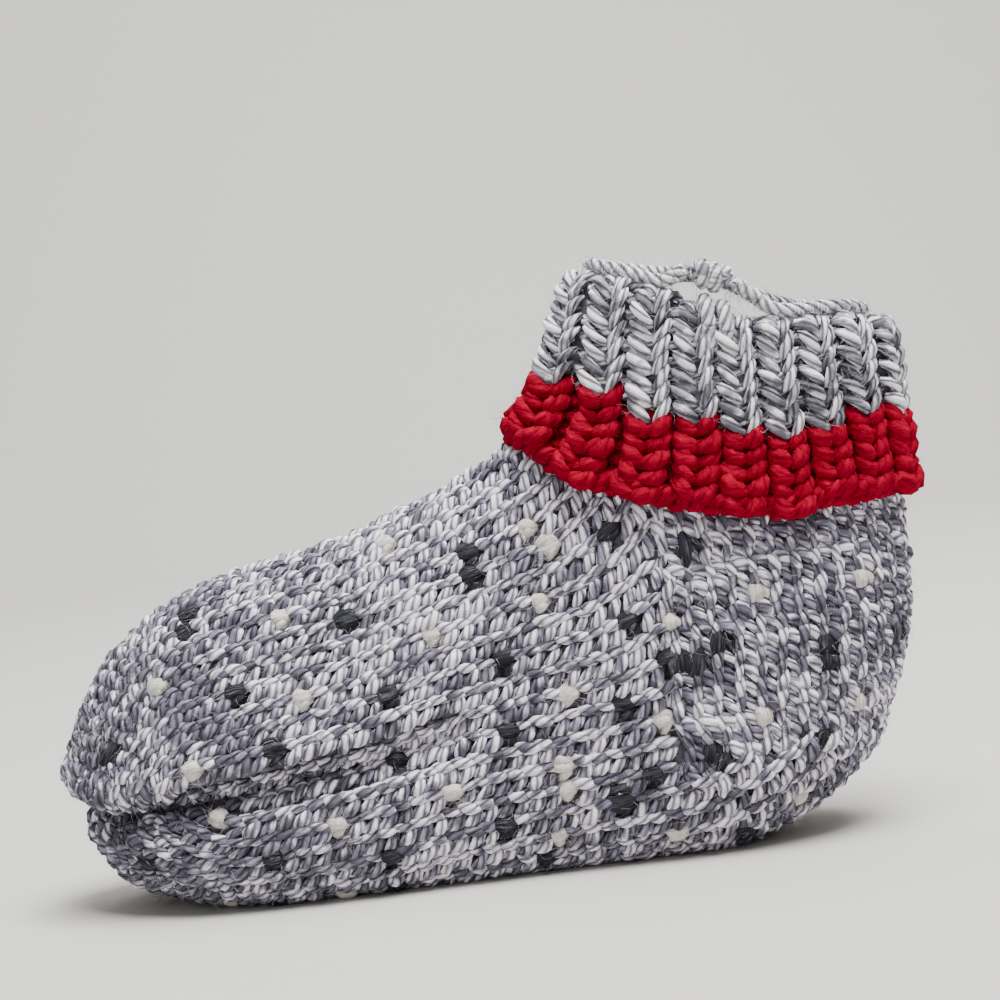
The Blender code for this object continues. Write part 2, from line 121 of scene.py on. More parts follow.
# Gauge of the knitting, and its yarn
COLUMN = 0.0054
COURSE = 0.00424
YARN = 0.0028
RED_YARN = 0.0030
GROUND_DEPTH = 0.0016     # how far the dark ground between the stitches lies in
STITCH_DEPTH = 0.0008     # how far the middles of the yarns lie in
LINING_DEPTH = 0.0026
LINING_TOP_ROW = 20.6
GROUND_SIDES, LINING_SIDES, CUFF_SIDES = 96, 120, 144
ANKLE_ROW = 12            # the ground's loops lie further apart from here
CUFF_SHARES = (0.0, 0.25, 0.5, 0.75, 0.97)
RIM_INSET = 0.001         # how far the ground of the fold lies inside its form
FOLD_LIFT = 0.0003        # of its first loop, onward from the edge
LINING_LAP = 0.0003       # how far the lining reaches into the ground around it
FLEECE_CLUMP = 0.00035

# The foot's columns, with places along the foot as rows of the section table
ROW_STEP = 0.1
LAST_ROW = 19.0
FULL_ROW = 7.0            # where the columns have their full width
TOE_ROW = 6.5             # up to here they narrow to TOE_NARROWS at most, and run out instead
TOE_NARROWS = 0.94
RUN_OUT = 0.35            # share of its width that a column keeps off the crease line
HELD_ROW = 9.5            # no column runs out from here on
LOWER_NUMBER = 40         # number of the lower lobe's middle column
FOOT_TOP = 0.112          # no stitches above this, where the cuff covers the ankle

# The cuff's rib
RIB_COURSE = 0.0041
RIB_VALLEY = 0.0030
INNER_DEPTH = 0.0014
RIB_TOP_ROW = 19.5        # how far down inside the collar the rib reaches
RIB_POINTS = (12, 12, 40) # points of a rib's path inside the collar, over the rim and outside
RIB_START = 17            # the point of that path from which courses are counted
COLOUR_LAP = 0.12         # rows by which the grey stitches reach over the red ones
CAST_ON_COURSE = 0.0042
CAST_ON_WIDTH = 0.0052
CAST_ON_RELIEF = 0.0007
CAST_ON_ROPES = ((0.58, 0.0022, 1.0), (0.25, 0.0008, 0.2))   # share of the thickness, onward, facing
CAST_ON_NUMBER = 90
RED_SINK = 0.0014

# The heel flap, and the picked-up stitches down its front edge
GUSSET_X = -0.0449
FLAP_COLUMNS = 13         # on each side of the one down the back
FLAP_COURSE = 0.0039
FLAP_AXIS_X = -0.072
FLAP_ROWS = (8.0, 21.01)
FLAP_HEIGHTS = (0.010, 0.107, 0.002)
FLAP_TOP = 0.106
FLAP_START = 20           # the point of a column's path from which courses are counted
FLAP_MARGIN = 0.0005
UNDER_EDGE = 0.0022       # how far the flap's stitches reach under those of the foot
OVER_GUSSET, OVER_EDGE = 0.0016, 0.0012     # how far the foot's stitches reach over it, forward and up
BAND_HEIGHT, BAND_RISE, BAND_PALES = 0.006, 0.0009, 0.34     # the heel turn's rim, below the flap
FLAP_EDGE = ((-0.110, 0.0262), (-0.086, 0.0252), (-0.081, 0.0276), (-0.073, 0.0275), (-0.060, 0.0228),
             (-0.050, 0.0212), (-0.0435, 0.0194))

# The tie's routes, in millimetres from the crown of the rim midway along the left side
TIE_DIAMETER = 0.0038
TIE_STEP = 0.0009
ROUTE_SAMPLES = 12        # of the smooth curve between two points of a route
PLY_TURN = 0.0130
YARN_REPEAT = 0.004
TIE_SIDES = 16
GROOVE_REACH, PLY_REACH, PLY_ROUND = 0.80, 0.20, 0.7         # the outline of the four plies
TIE_DRIFT, TIE_WAVES = 0.3, 160.0         # of its tone, in waves along the yarn
TIE_TAPER = ((0, 0.72, 0.90, 1), (1, 1, 1.12, 0.55))         # shares of the length, and the thickness there
FUZZ_STEP, FUZZ_ROOT, FUZZ_SPREAD = 0.0012, 0.0005, 0.001
TIP_STEPS = 10
TIP_LUMPS = 0.05
TIP_SWELL = ((0, 0.15, 0.6, 0.9, 1), (0.6, 1.12, 1.22, 1.0, 0.5))
KNOT_REACH = 3.6          # to each side of its middle, in millimetres
KNOT_RADII = (2.1, 3.0)
KNOT_TURN, KNOT_START = 15.0, 0.4
RIM_CROWN = Vector((-0.0685, 0.0173, 0.1346))
KNOT_PLACE = (4.3, -0.3, 11.1)
KNOT_SLOPE = -0.42
STRAP_BACK = [(2.1, 3.4, -9.4), (2.1, 4.4, -4.6), (2.1, 4.6, -0.9), (2.1, 3.2, 2.1), (2.1, 0.0, 3.4),
              (2.1, -3.6, 2.4), (2.1, -6.3, -0.3), (2.1, -7.5, -4.1), (2.1, -7.4, -9.6)]
STRAP_FRONT = [(6.5, 3.4, -7.4), (6.5, 4.4, -2.6), (6.5, 4.6, 1.1), (6.5, 3.2, 4.1), (6.5, 0.0, 5.4),
               (6.5, -3.6, 4.4), (6.5, -6.3, 1.7), (6.5, -7.5, -2.1), (6.5, -7.4, -7.6)]
LOOP_FRONT = [(10.6, 1.8, 13.7), (14.1, 0.5, 11.8), (18.1, -1.4, 11.6), (23.1, -3.2, 13.9),
              (27.3, -5.2, 15.5), (31.1, -8.5, 16.9), (33.1, -12.8, 17.7), (33.2, -17.8, 17.7),
              (30.6, -21.3, 17.3), (26.1, -20.8, 16.1), (21.1, -17.8, 14.7), (16.1, -12.8, 13.6),
              (12.6, -7.3, 13.2), (10.4, -2.7, 13.1)]
LOOP_BACK = [(-2.1, 0.8, 8.5), (-5.9, 0.9, 4.8), (-10.4, 0.3, 1.3), (-15.9, -0.9, 0.3),
             (-21.9, -2.3, 0.3), (-27.4, -4.4, 0.1), (-31.9, -7.7, -0.6), (-34.7, -11.9, -1.4),
             (-35.1, -16.7, -1.7), (-31.9, -20.9, -1.2), (-25.9, -22.3, -0.3), (-18.9, -19.8, 1.2),
             (-11.9, -15.3, 3.4), (-5.9, -9.3, 6.2), (-1.4, -3.3, 8.9)]
END_FRONT = [(7.0, -5.2, 11.8), (10.6, -11.8, 12.4), (15.1, -18.8, 12.9), (19.1, -25.3, 14.0),
             (22.3, -30.3, 14.0), (24.5, -33.9, 13.7)]
END_BACK = [(2.6, -5.7, 10.3), (-0.9, -11.8, 9.2), (-5.4, -18.8, 6.9), (-10.9, -25.3, 4.1),
            (-17.4, -30.1, 1.3), (-23.9, -31.7, 0.3), (-28.9, -30.7, -0.1)]

# Camera: the photo's view of the shoe's left side, rolled as the photo has it
VIEW_POINT = Vector((-0.0053, 0.0, 0.0945))
VIEW_ELEVATION = math.radians(4)
VIEW_ROLL = math.radians(-6.5)
VIEW_DISTANCE = 0.62
VIEW_WIDTH = 0.260
SENSOR = 36
FRAME = 1000              # width and height of the frame in pixels

# Lamps: name, place, what it is turned to, size and power
LAMPS = (("window", (-0.25, 0.28, 1.3), (0, 0, 0.06), 0.8, 50),
         ("fill", (0.5, 1.1, 0.5), (0, 0, 0.06), 0.8, 2),
         ("wall_wash", (0, -0.55, 1.3), (0, -1.35, 0.4), 1.0, 18))
ROOM_COLOUR, ROOM_LIGHT = (1.0, 0.99, 0.97, 1), 0.29
BOARD_COLOUR = (0.540, 0.533, 0.503, 1)
FLOOR_FRONT, FLOOR_BACK, FLOOR_SIDE = 1.2, -0.9, 2.2
WALL_BEND, WALL_TOP = 0.5, 2.2

# Where the thrums show on the near side, in pixels of the frame, and their size. The far side has
# the same ones a little further on.
DARK_THRUMS = (
    (606, 537, 1.0), (474, 567, 1.35), (482, 584, 1.0), (351, 621, 1.1), (189, 618, 0.9), (187, 633, 0.9),
    (503, 657, 1.05), (619, 621, 1.0), (231, 687, 1.3), (234, 705, 1.0), (382, 705, 1.1), (628, 708, 1.0),
    (510, 739, 0.95), (273, 762, 1.1), (112, 760, 1.25), (392, 768, 0.9), (622, 795, 1.4), (503, 822, 1.0),
    (148, 856, 1.15), (274, 864, 0.9), (389, 851, 0.7), (553, 852, 0.7), (654, 770, 0.8), (695, 539, 1.35),
    (687, 663, 1.3), (704, 655, 1.5), (716, 646, 1.1), (665, 676, 0.8), (818, 640, 0.9), (823, 654, 0.9),
    (898, 634, 1.1), (708, 758, 1.3), (722, 760, 1.2), (803, 737, 1.1), (815, 733, 1.0), (744, 834, 0.8))
CREAM_THRUMS = (
    (390, 549, 1.2), (533, 525, 0.9), (541, 544, 1.25), (549, 601, 0.95), (426, 638, 1.0), (280, 614, 1.1),
    (161, 686, 1.05), (309, 693, 0.95), (565, 686, 0.9), (449, 714, 0.9), (193, 768, 0.9), (221, 824, 0.95),
    (339, 819, 0.9), (454, 798, 0.95), (572, 766, 1.1), (563, 782, 0.8), (557, 843, 0.8), (680, 826, 1.2),
    (804, 798, 0.9), (758, 591, 1.15), (861, 578, 1.15), (665, 617, 0.8), (672, 718, 1.0), (769, 710, 1.15),
    (861, 696, 1.0))
FAR_SHIFT = (26, -12)
NEAREST = 13              # pixels within which a thrum finds its stitch
SIDE_FACING = 0.12        # how far a stitch turns to the side before a thrum is placed on it
UNDER_FACING = -0.85
THRUM_COLUMNS, THRUM_COURSES = 3, 7
THRUM_SHIFT = 0.0005
HAIR_ROOT = 0.0011        # how far off the middle of its stitch a hair starts
HAIR_LEAN, HAIR_DROOP = 0.3, -0.05        # spread of their directions, and the lowest they point
HAIR_LENGTHS = (0.5, 1.3)
FUZZ_RISE = 0.45
THRUM_TAILED = 0.6        # share of the thrums that have a tail
DARK_SIZE, CREAM_SIZE = 1.08, 0.88
SOLE_FACING = -0.75

# Where the marl's tone changes, between these x or z: darker towards the toe, painted shade low down and painted
# light high on the instep. The whole flap gets painted shade.
TOE_DARKENS = (0.030, 0.070)
LOW_PAINTED_SHADE_Z = (0.034, 0.024)
INSTEP_PAINTED_LIGHT_Z = (0.050, 0.070)
# Tone added: darker marl at the toe, painted shade low down and on the flap, painted light on the instep
TOE_DARKER, LOW_PAINTED_SHADE, FLAP_PAINTED_SHADE, INSTEP_PAINTED_LIGHT = -0.36, -0.20, -0.20, 0.14
FLAP_SEED, RIB_SEED, CAST_ON_SEED = 11.0, 3.0, 5.0

# The marl's drift: steps along the row of tones for a course and for a column, and a slower drift
COURSE_RUN, COLUMN_RUN, RUN_START = 61.7, 0.42, 2000.0
SLOWER, SLOW_START = 5.3, 900.0
DRIFT_SHARE, SLOW_SHARE = 0.62, 0.38

# The yarn's plies, and how uneven the stitches are
PLIES = 4
PLY_RELIEF = 0.13
YARN_ROUNDS, PHASE_SHIFT = 3, 7     # along a strand's UV map: for its length, and for its place in the twist
MATTED = 0.09             # unevenness of matted yarn, in its thicknesses
MATTED_RELIEF = 0.04      # how far the plies of matted yarn stand out
ROPE_RELIEF = 0.06
JITTER, FOOT_JITTER = 0.06, 0.08     # unevenness of the cuff's stitches, and of the foot's
OFF_LINE = 0.9            # turn of a stitch for each unit of its unevenness, in radians
OFF_HEIGHT = 0.10         # spread of the stitches' heights, in yarn thicknesses
OFF_TONE = 0.22
FULLER = 1.4              # spread of the yarn's thickness for each unit of unevenness
SOLE_LIFT = 0.0002        # how far the strands stay off the floor
SOLE_TUCK = 0.0004        # how much further on their inner side
RNG = np.random.default_rng(7)


# ---------------------------------------------------------------- shader expressions
class Socket:
    """A node's output, with arithmetic that adds Math nodes."""

    def __init__(self, tree, output):
        self.tree, self.output = tree, output

    def _math(self, operation, a, b=None, c=None):
        values = {i: v for i, v in enumerate((a, b, c)) if v is not None}
        return self.tree.node("ShaderNodeMath", {"operation": operation}, values)

    def __add__(self, other): return self._math("ADD", self, other)
    def __radd__(self, other): return self._math("ADD", other, self)
    def __sub__(self, other): return self._math("SUBTRACT", self, other)
    def __rsub__(self, other): return self._math("SUBTRACT", other, self)
    def __mul__(self, other): return self._math("MULTIPLY", self, other)
    def __rmul__(self, other): return self._math("MULTIPLY", other, self)
    def __mod__(self, other): return self._math("FLOORED_MODULO", self, other)
    def sine(self): return self._math("SINE", self)
    def absolute(self): return self._math("ABSOLUTE", self)
    def floor(self): return self._math("FLOOR", self)

    def between(self, low, high):
        """0 below low, 1 above high, smooth between."""
        return self.tree.node("ShaderNodeMapRange", {"interpolation_type": "SMOOTHSTEP"},
                              {"Value": self, "From Min": low, "From Max": high})


class Finish:
    """A material whose nodes are written as expressions."""

    def __init__(self, name, roughness, specular=0.12):
        self.material = bpy.data.materials.new(name)
        self.material.use_nodes = True
        self.nodes, self.links = self.material.node_tree.nodes, self.material.node_tree.links
        self.shader = self.nodes["Principled BSDF"]
        self.shader.inputs["Roughness"].default_value = roughness
        self.shader.inputs["Specular IOR Level"].default_value = specular

    def node(self, kind, settings=None, inputs=None, output=0):
        """One node, whose settings are put in first. Gives its output by number."""
        made = self.nodes.new(kind)
        for key, value in (settings or {}).items():
            setattr(made, key, value)
        for key, value in (inputs or {}).items():
            self.feed(made.inputs[key], value)
        return Socket(self, made.outputs[output])

    def feed(self, socket, value):
        if isinstance(value, Socket):
            self.links.new(value.output, socket)
        else:
            socket.default_value = value

    def vector(self, *parts):
        return self.node("ShaderNodeCombineXYZ", {}, dict(enumerate(parts)))

    def yarn_place(self):
        """Turns of the twist and the way along the yarn, from the strands' own UV map."""
        uv = self.node("ShaderNodeUVMap", {"uv_map": "yarn"})
        turn = self.node("ShaderNodeSeparateXYZ", {}, {0: uv})
        return turn, Socket(self, turn.output.node.outputs[1])

    def tone(self):
        return self.node("ShaderNodeAttribute", {"attribute_name": "tone"}, output=2)

    def object_place(self):
        return self.node("ShaderNodeTexCoord", output=3)

    def blend(self, share, first, second, mode="MIX"):
        """Colour between first and second."""
        return self.node("ShaderNodeMix", {"data_type": "RGBA", "blend_type": mode},
                         {0: share, 6: first, 7: second}, output=2)

    def noise(self, vector, scale, detail, roughness=0.5):
        return self.node("ShaderNodeTexNoise", {}, {"Vector": vector, "Scale": scale, "Detail": detail,
                                                    "Roughness": roughness})

    def bump(self, height, distance, strength):
        normal = self.node("ShaderNodeBump", {}, {"Height": height, "Distance": distance, "Strength": strength})
        self.feed(self.shader.inputs["Normal"], normal)

    def colour(self, value):
        self.feed(self.shader.inputs["Base Color"], value)

    def shaded(self, body, shade, tint=(1, 1, 1)):
        """Base colour of a body darkened by painted shade in its grooves, and by its fibres."""
        parts = {i: shade if share == 1 else shade * share for i, share in enumerate(tint)}
        grey = self.node("ShaderNodeCombineColor", {}, parts)
        self.colour(self.blend(1.0, body, grey, "MULTIPLY"))

    def sheen(self, weight, roughness):
        self.shader.inputs["Sheen Weight"].default_value = weight
        self.shader.inputs["Sheen Roughness"].default_value = roughness


def marl_yarn(name, pale, middle, dark):
    """Four-ply yarn whose plies differ in shade and are streaked with each other's wool."""
    finish = Finish(name, 0.92)
    turn, along = finish.yarn_place()
    tone = finish.tone()
    number = (turn * PLIES).floor() % PLIES

    def drawn(across, onward, detail):
        """Noise drawn out along the yarn."""
        return finish.noise(finish.vector(across, along * onward, tone * 40.0), 1.0, detail, 0.6)

    own = drawn(number * 3.7, 0.55, 1.0)
    streaks = drawn(turn * 9.0, 0.9, 2.0)
    fibres = drawn(turn * 24.0, 1.6, 2.0)
    patch = finish.noise(finish.object_place(), 95.0, 2.0)
    # tone holds the marl's drift along the yarn, with painted light and shade added on the foot and flap
    ply = (own - 0.5) * 5.2 + (streaks - 0.5) * 1.6 + (patch - 0.5) * 1.6 + (tone - 0.5) * 1.2
    body = finish.blend(ply.between(-0.95, -0.30), dark, middle)
    body = finish.blend(ply.between(-0.24, 0.26), body, pale)
    groove = (turn * (PLIES * math.pi)).sine().absolute()
    # painted shade in the grooves between the plies
    groove_shade = 1 - (1 - groove.between(0.02, 0.60)) * 0.74
    finish.shaded(body, groove_shade * (0.70 + 0.40 * fibres.between(0.3, 0.66)), (1, 0.985, 1.01))
    finish.bump(groove.between(0.0, 0.9) * 0.9 + streaks * 0.2 + fibres * 0.25, 0.0010, 1.0)
    finish.sheen(0.08, 0.6)
    return finish.material


def red_yarn():
    """Plain red yarn, matted, with the same plies."""
    finish = Finish("red_yarn", 0.95, 0.03)
    turn, along = finish.yarn_place()
    fibres = finish.noise(finish.vector(turn * 13.0, along * 1.6), 1.0, 3.0, 0.65)
    patch = finish.noise(finish.object_place(), 160.0, 2.0)
    body = finish.blend(patch.between(0.3, 0.7), (0.26, 0.0014, 0.016, 1), (0.315, 0.0022, 0.021, 1))
    body = finish.blend(fibres.between(0.58, 0.74), body, (0.37, 0.004, 0.028, 1))
    groove = (turn * (PLIES * math.pi)).sine().absolute()
    # painted shade in the grooves between the plies
    groove_shade = 1 - (1 - groove.between(0.0, 0.6)) * 0.22
    finish.shaded(body, groove_shade * (0.66 + 0.36 * fibres.between(0.3, 0.58)))
    finish.bump(groove * 0.3 + fibres * 0.7 + patch * 1.2, 0.0012, 0.9)
    return finish.material


def combed_wool(name, pale, middle, dark, relief=0.0008):
    """Unspun wool combed along each strand."""
    finish = Finish(name, 1.0)
    turn, along = finish.yarn_place()
    tone = finish.tone()
    hair = finish.noise(finish.vector(turn * 16.0, along * 0.9, tone * 30.0), 1.0, 3.0, 0.7)
    lock = finish.noise(finish.vector(turn * 3.0, along * 0.5, tone * 17.0), 1.0, 2.0, 0.5)
    body = finish.blend(hair.between(0.34, 0.52), dark, middle)
    finish.colour(finish.blend((hair * 0.6 + lock * 0.4).between(0.50, 0.66), body, pale))
    finish.bump(hair + lock * 0.8, relief, 0.8)
    return finish.material


def fleecy(name, pale, dark, grain=700.0, sheen=0.3):
    """Unspun wool: soft streaks and clumps."""
    finish = Finish(name, 1.0)
    place = finish.object_place()
    clumps = finish.noise(place, grain * 0.3, 3.0)
    hair = finish.noise(place, grain * 2.4, 4.0, 0.7)
    finish.colour(finish.blend((clumps * 0.5 + hair * 0.5).between(0.35, 0.62), dark, pale))
    finish.bump(clumps + hair * 0.6, 0.0006, 0.8)
    finish.sheen(sheen, 0.6)
    return finish.material


# ---------------------------------------------------------------- the foot's form
def section_rows():
    """The section table: every section in metres, from the toe's end to the ankle's rim."""
    back = BACK_HEIGHT + SOLE_PRESS
    rise = ANKLE_HEIGHT - INSTEP_HEIGHT
    rows = []
    for along, high, sole_along, sole_high, width, *shape in FOOT_ROWS:
        rows.append([FOOT_LENGTH + along * (THROAT_REACH - FOOT_LENGTH), high * INSTEP_HEIGHT,
                     FOOT_LENGTH * (1 - sole_along), sole_high * INSTEP_HEIGHT - SOLE_PRESS,
                     width * BALL_WIDTH / 2, *shape])
    for table, full_width in ((HEEL_ROWS, HEEL_WIDTH), (ANKLE_ROWS, ANKLE_WIDTH)):
        for along, high, sole_along, sole_high, width, *shape in table:
            rows.append([THROAT_REACH + along * (ANKLE_LENGTH - THROAT_REACH), INSTEP_HEIGHT + high * rise,
                         FOOT_LENGTH * (1 - sole_along), sole_high * back - SOLE_PRESS,
                         width * full_width / 2, *shape])
    ridge_x, ridge_z, sole_x, sole_z, *rest = rows[-1]
    rows.append([ridge_x + RIDGE_RIM_LEAN * RIM_RISE, ridge_z + RIM_RISE,
                 sole_x + BACK_RIM_LEAN * RIM_RISE, sole_z + RIM_RISE, *rest])
    rows = np.array(rows)
    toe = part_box("knitted_foot")[1][0]
    rows[:, [RIDGE_X, SOLE_X]] += toe - TOE_REACH
    return rows


ROWS = section_rows()


def smooth(before, start, end, after, step):
    """Catmull-Rom curve from start to end, at step 0 to 1 of the way."""
    return 0.5 * (2 * start + (end - before) * step
                  + (2 * before - 5 * start + 4 * end - after) * step ** 2
                  + (3 * start - before - 3 * end + after) * step ** 3)


def extended(points):
    """Points with one more in line with them at each end."""
    return np.vstack([2 * points[0] - points[1], points, 2 * points[-1] - points[-2]])


def travelled(path):
    """How far along the path each of its points lies."""
    return np.concatenate([[0], np.cumsum(np.linalg.norm(np.diff(path, axis=0), axis=1))])


def read_path(at, length, path):
    """Points of the path at these lengths along it."""
    return np.stack([np.interp(at, length, path[:, axis]) for axis in range(3)], axis=-1)


def rows_at(row):
    """The section table's values at fractional row numbers."""
    padded = extended(ROWS)
    first = np.clip(np.floor(row).astype(int), 0, len(ROWS) - 2)
    before, start, end, after = (padded[first + i] for i in range(4))
    return smooth(before, start, end, after, (row - first)[..., None])


def section_height(values):
    """Distance from each section's sole to its ridge."""
    return np.hypot(values[..., RIDGE_X] - values[..., SOLE_X], values[..., RIDGE_Z] - values[..., SOLE_Z])


def half_section(row):
    """One side of each section from sole to ridge: section values, samples across, up and along."""
    values = rows_at(row)
    half, widest, sole_power, ridge_power = (values[..., i, None]
                                             for i in (HALF_WIDTH, WIDEST, SOLE_POWER, RIDGE_POWER))
    height = section_height(values)[..., None]
    turn = np.linspace(0, np.pi, SECTION_SAMPLES)
    low = turn <= np.pi / 2
    sine, cosine = np.abs(np.sin(turn)), np.abs(np.cos(turn))
    across = half * np.where(low, sine ** (2 / sole_power), sine ** (2 / ridge_power))
    up = np.where(low, widest * (1 - cosine ** (2 / sole_power)),
                  widest + (1 - widest) * cosine ** (2 / ridge_power))
    steps = np.hypot(np.diff(across), np.diff(up * height))
    along = np.concatenate([np.zeros_like(height), np.cumsum(steps, axis=-1)], axis=-1)
    return values, across, up, along


def sample(curve, values, at):
    """Straight-line reading of each curve at one value, where curve rises along its last axis."""
    index = np.clip((curve <= at[..., None]).sum(axis=-1) - 1, 0, curve.shape[-1] - 2)[..., None]
    low = np.take_along_axis(curve, index, -1)[..., 0]
    high = np.take_along_axis(curve, index + 1, -1)[..., 0]
    share = (at - low) / np.maximum(high - low, 1e-12)
    first = np.take_along_axis(values, index, -1)[..., 0]
    second = np.take_along_axis(values, index + 1, -1)[..., 0]
    return first + share * (second - first)


def crease_level(row):
    """Share of a section's height at which the crease line runs, which climbs away from the toe."""
    return CREASE_LEVEL + CREASE_CLIMB * (np.clip(row, CREASE_FROM_ROW, CREASE_END_ROW) - CREASE_FROM_ROW)


def crease_share(row):
    """Share of a half section, from the sole, at which the crease line runs."""
    _, _, up, along = half_section(row)
    return sample(up, along, crease_level(row)) / along[..., -1]


def half_girth(row):
    return half_section(row)[3][..., -1]


def read_at(share, values, along):
    """Value at a share of the way round, from the samples of one side of the section."""
    return sample(along, values, np.where(share <= 1, share, 2 - share) * along[..., -1])


def form(row, share):
    """Points of the foot's plain outer form. share runs 0 to 1 up the left side, 1 to 2 down."""
    values, across, up, along = half_section(row)
    y = read_at(share, across, along) * np.where(share <= 1, 1.0, -1.0)
    level = read_at(share, up, along)
    x = values[..., SOLE_X] + level * (values[..., RIDGE_X] - values[..., SOLE_X])
    z = values[..., SOLE_Z] + level * (values[..., RIDGE_Z] - values[..., SOLE_Z])
    return np.stack([x, y, z], axis=-1)


def unit(vectors):
    return vectors / np.maximum(np.linalg.norm(vectors, axis=-1, keepdims=True), 1e-12)


def directions(row, share):
    """Unit vectors out of the form and along it towards the rim."""
    onward = form(row + SMALL, share) - form(row - SMALL, share)
    around = form(row, np.mod(share + SMALL, 2)) - form(row, np.mod(share - SMALL, 2))
    return unit(np.cross(onward, around)), unit(onward)


def crease(row, share):
    """How far in the skin lies by the toe crease: a narrow cut under a full upper lip."""
    values, _, up, along = half_section(row)
    distance = (read_at(share, up, along) - crease_level(row)) * section_height(values)
    fade = np.clip(1 - row / CREASE_END_ROW, 0, 1) ** 0.25
    cut = CREASE_DEPTH * np.exp(-(distance / CREASE_WIDTH) ** 2)
    lip = UPPER_LIP * np.exp(-((distance - 1.5 * LIP_WIDTH) / LIP_WIDTH) ** 2)
    return fade * (cut - lip)


def skin(row, share, inside=0.0):
    """The foot's skin at a depth below the yarn's outer face, resting flat on the floor."""
    out, _ = directions(row, share)
    points = form(row, share) - out * (crease(row, share) + inside)[..., None]
    points[..., 2] = np.maximum(points[..., 2], inside)
    return points


def dipped(row, share):
    """Row numbers bent down towards the sides near the ankle's edge, where the rim sags."""
    last, top = rows_at(np.array(EDGE_ROW - 1)), rows_at(np.array(EDGE_ROW))
    row_height = (top[RIDGE_Z] + top[SOLE_Z] - last[RIDGE_Z] - last[SOLE_Z]) / 2
    sag = RIM_DIP / row_height * np.sin(np.pi * np.mod(share, 1)) ** 4
    strength = np.clip((row - DIP_FROM_ROW) / (EDGE_ROW - DIP_FROM_ROW), 0, 1)
    return row - sag * strength


def cuff_point(row, share, out, onward=0.0):
    """Point moved out of the ankle's form and onward along it."""
    bent = dipped(row, share)
    normal, tangent = directions(bent, share)
    return form(bent, share) + normal * np.asarray(out)[..., None] + tangent * np.asarray(onward)[..., None]


def line_row(share, line_rows):
    """Row at which a line round the cuff runs."""
    return np.interp(1 - np.where(share <= 1, share, 2 - share), FRONT_TO_BACK, line_rows)


# ---------------------------------------------------------------- meshes
def mesh_of(bm, name):
    """The bmesh as a mesh of that name."""
    mesh = bpy.data.meshes.new(name)
    bm.to_mesh(mesh)
    bm.free()
    return mesh


def linked(name, data):
    """Object of the data, linked into the scene."""
    made = bpy.data.objects.new(name, data)
    bpy.context.scene.collection.objects.link(made)
    return made


def add_piece(name, mesh, finish, replaced=()):
    """Object of one piece, riding on the slipper's body."""
    mesh.materials.append(finish)
    mesh.shade_smooth()
    piece = linked(name, mesh)
    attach(piece, "root")
    if replaced:
        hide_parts(*replaced)
    return piece


def shell(name, loops, close_ends=()):
    """Mesh of loops of points, each joined to the next. An end may be closed with a fan, and with no
    end named the last loop joins the first."""
    bm = bmesh.new()
    rings = [[bm.verts.new(point) for point in loop] for loop in loops]
    for ring, following in zip(rings, rings[1:] + ([] if close_ends else rings[:1])):
        for a, b, c, d in zip(ring, ring[1:] + ring[:1], following[1:] + following[:1], following):
            bm.faces.new((a, b, c, d))
    for end in close_ends:
        bmesh.ops.contextual_create(bm, geom=rings[end])
    bmesh.ops.recalc_face_normals(bm, faces=bm.faces)
    return mesh_of(bm, name)


class Strand:
    """One closed length of yarn in a stitch's own frame, made with bmesh and then copied.

    Points are (across, along, out): across in columns, along in courses, out in yarn thicknesses.
    swell is how thick it is from end to end, and turns how often its plies go round it.
    """

    def __init__(self, points, swell, thickness, turns, sides=8, steps=5):
        bm = bmesh.new()
        bmesh.ops.create_cone(bm, cap_ends=True, segments=sides, radius1=1, radius2=1, depth=1)
        long_edges = [e for e in bm.edges if abs(e.verts[0].co.z - e.verts[1].co.z) > 0.5]
        bmesh.ops.subdivide_edges(bm, edges=long_edges, cuts=steps - 1)
        bm.verts.ensure_lookup_table()
        around = np.array([v.co[:] for v in bm.verts])
        self.share = around[:, 2] + 0.5
        self.angle = np.arctan2(around[:, 1], around[:, 0]) / (2 * np.pi) % 1.0
        self.loops = np.array([l.vert.index for f in bm.faces for l in f.loops])
        self.sizes = np.array([len(f.verts) for f in bm.faces])
        corner = []
        for face in bm.faces:
            angles = self.angle[[l.vert.index for l in face.loops]]
            wraps = len(angles) == 4 and angles.max() - angles.min() > 0.5
            corner.extend(np.where(angles < 0.5, angles + 1, angles) if wraps else angles)
        self.corner_angle = np.array(corner)
        bm.free()
        self.points, self.ends = np.array(points, float), swell
        self.swell = np.interp(self.share, np.linspace(0, 1, len(swell)), swell)
        self.thickness, self.turns = thickness, turns

    def twist(self, phase):
        """Turns of twist at each vertex of each stitch."""
        return self.angle[None] + self.turns * self.share[None] + phase[:, None]

    def shape(self, width, pitch, yarn, full, lift=None):
        """Vertices in metres for stitches of these widths and pitches, as (stitch, vertex, axis). full
        is how full the yarn is at each."""
        scale = np.stack([width, pitch, np.full_like(width, yarn) if lift is None else lift], axis=-1)
        path = self.points[None] * scale[:, None]
        at = self.share * (len(self.points) - 1)
        first = np.clip(np.floor(at).astype(int), 0, len(self.points) - 2)
        step = (at - first)[None, :, None]
        padded = np.concatenate([2 * path[:, :1] - path[:, 1:2], path,
                                 2 * path[:, -1:] - path[:, -2:-1]], axis=1)
        before, start, end, after = (padded[:, first + i] for i in range(4))
        centre = smooth(before, start, end, after, step)
        tangent = unit(0.5 * ((end - before) + 2 * (2 * before - 5 * start + 4 * end - after) * step
                              + 3 * (3 * start - before - 3 * end + after) * step ** 2))
        side = unit(np.cross(tangent, np.array([0.0, 0.0, 1.0])))
        up = np.cross(side, tangent)
        turn = 2 * np.pi * self.angle[None, :, None]
        radius = (yarn / 2 * self.thickness * self.swell)[None, :, None] * full[..., None]
        return centre + radius * (np.cos(turn) * side + np.sin(turn) * up)


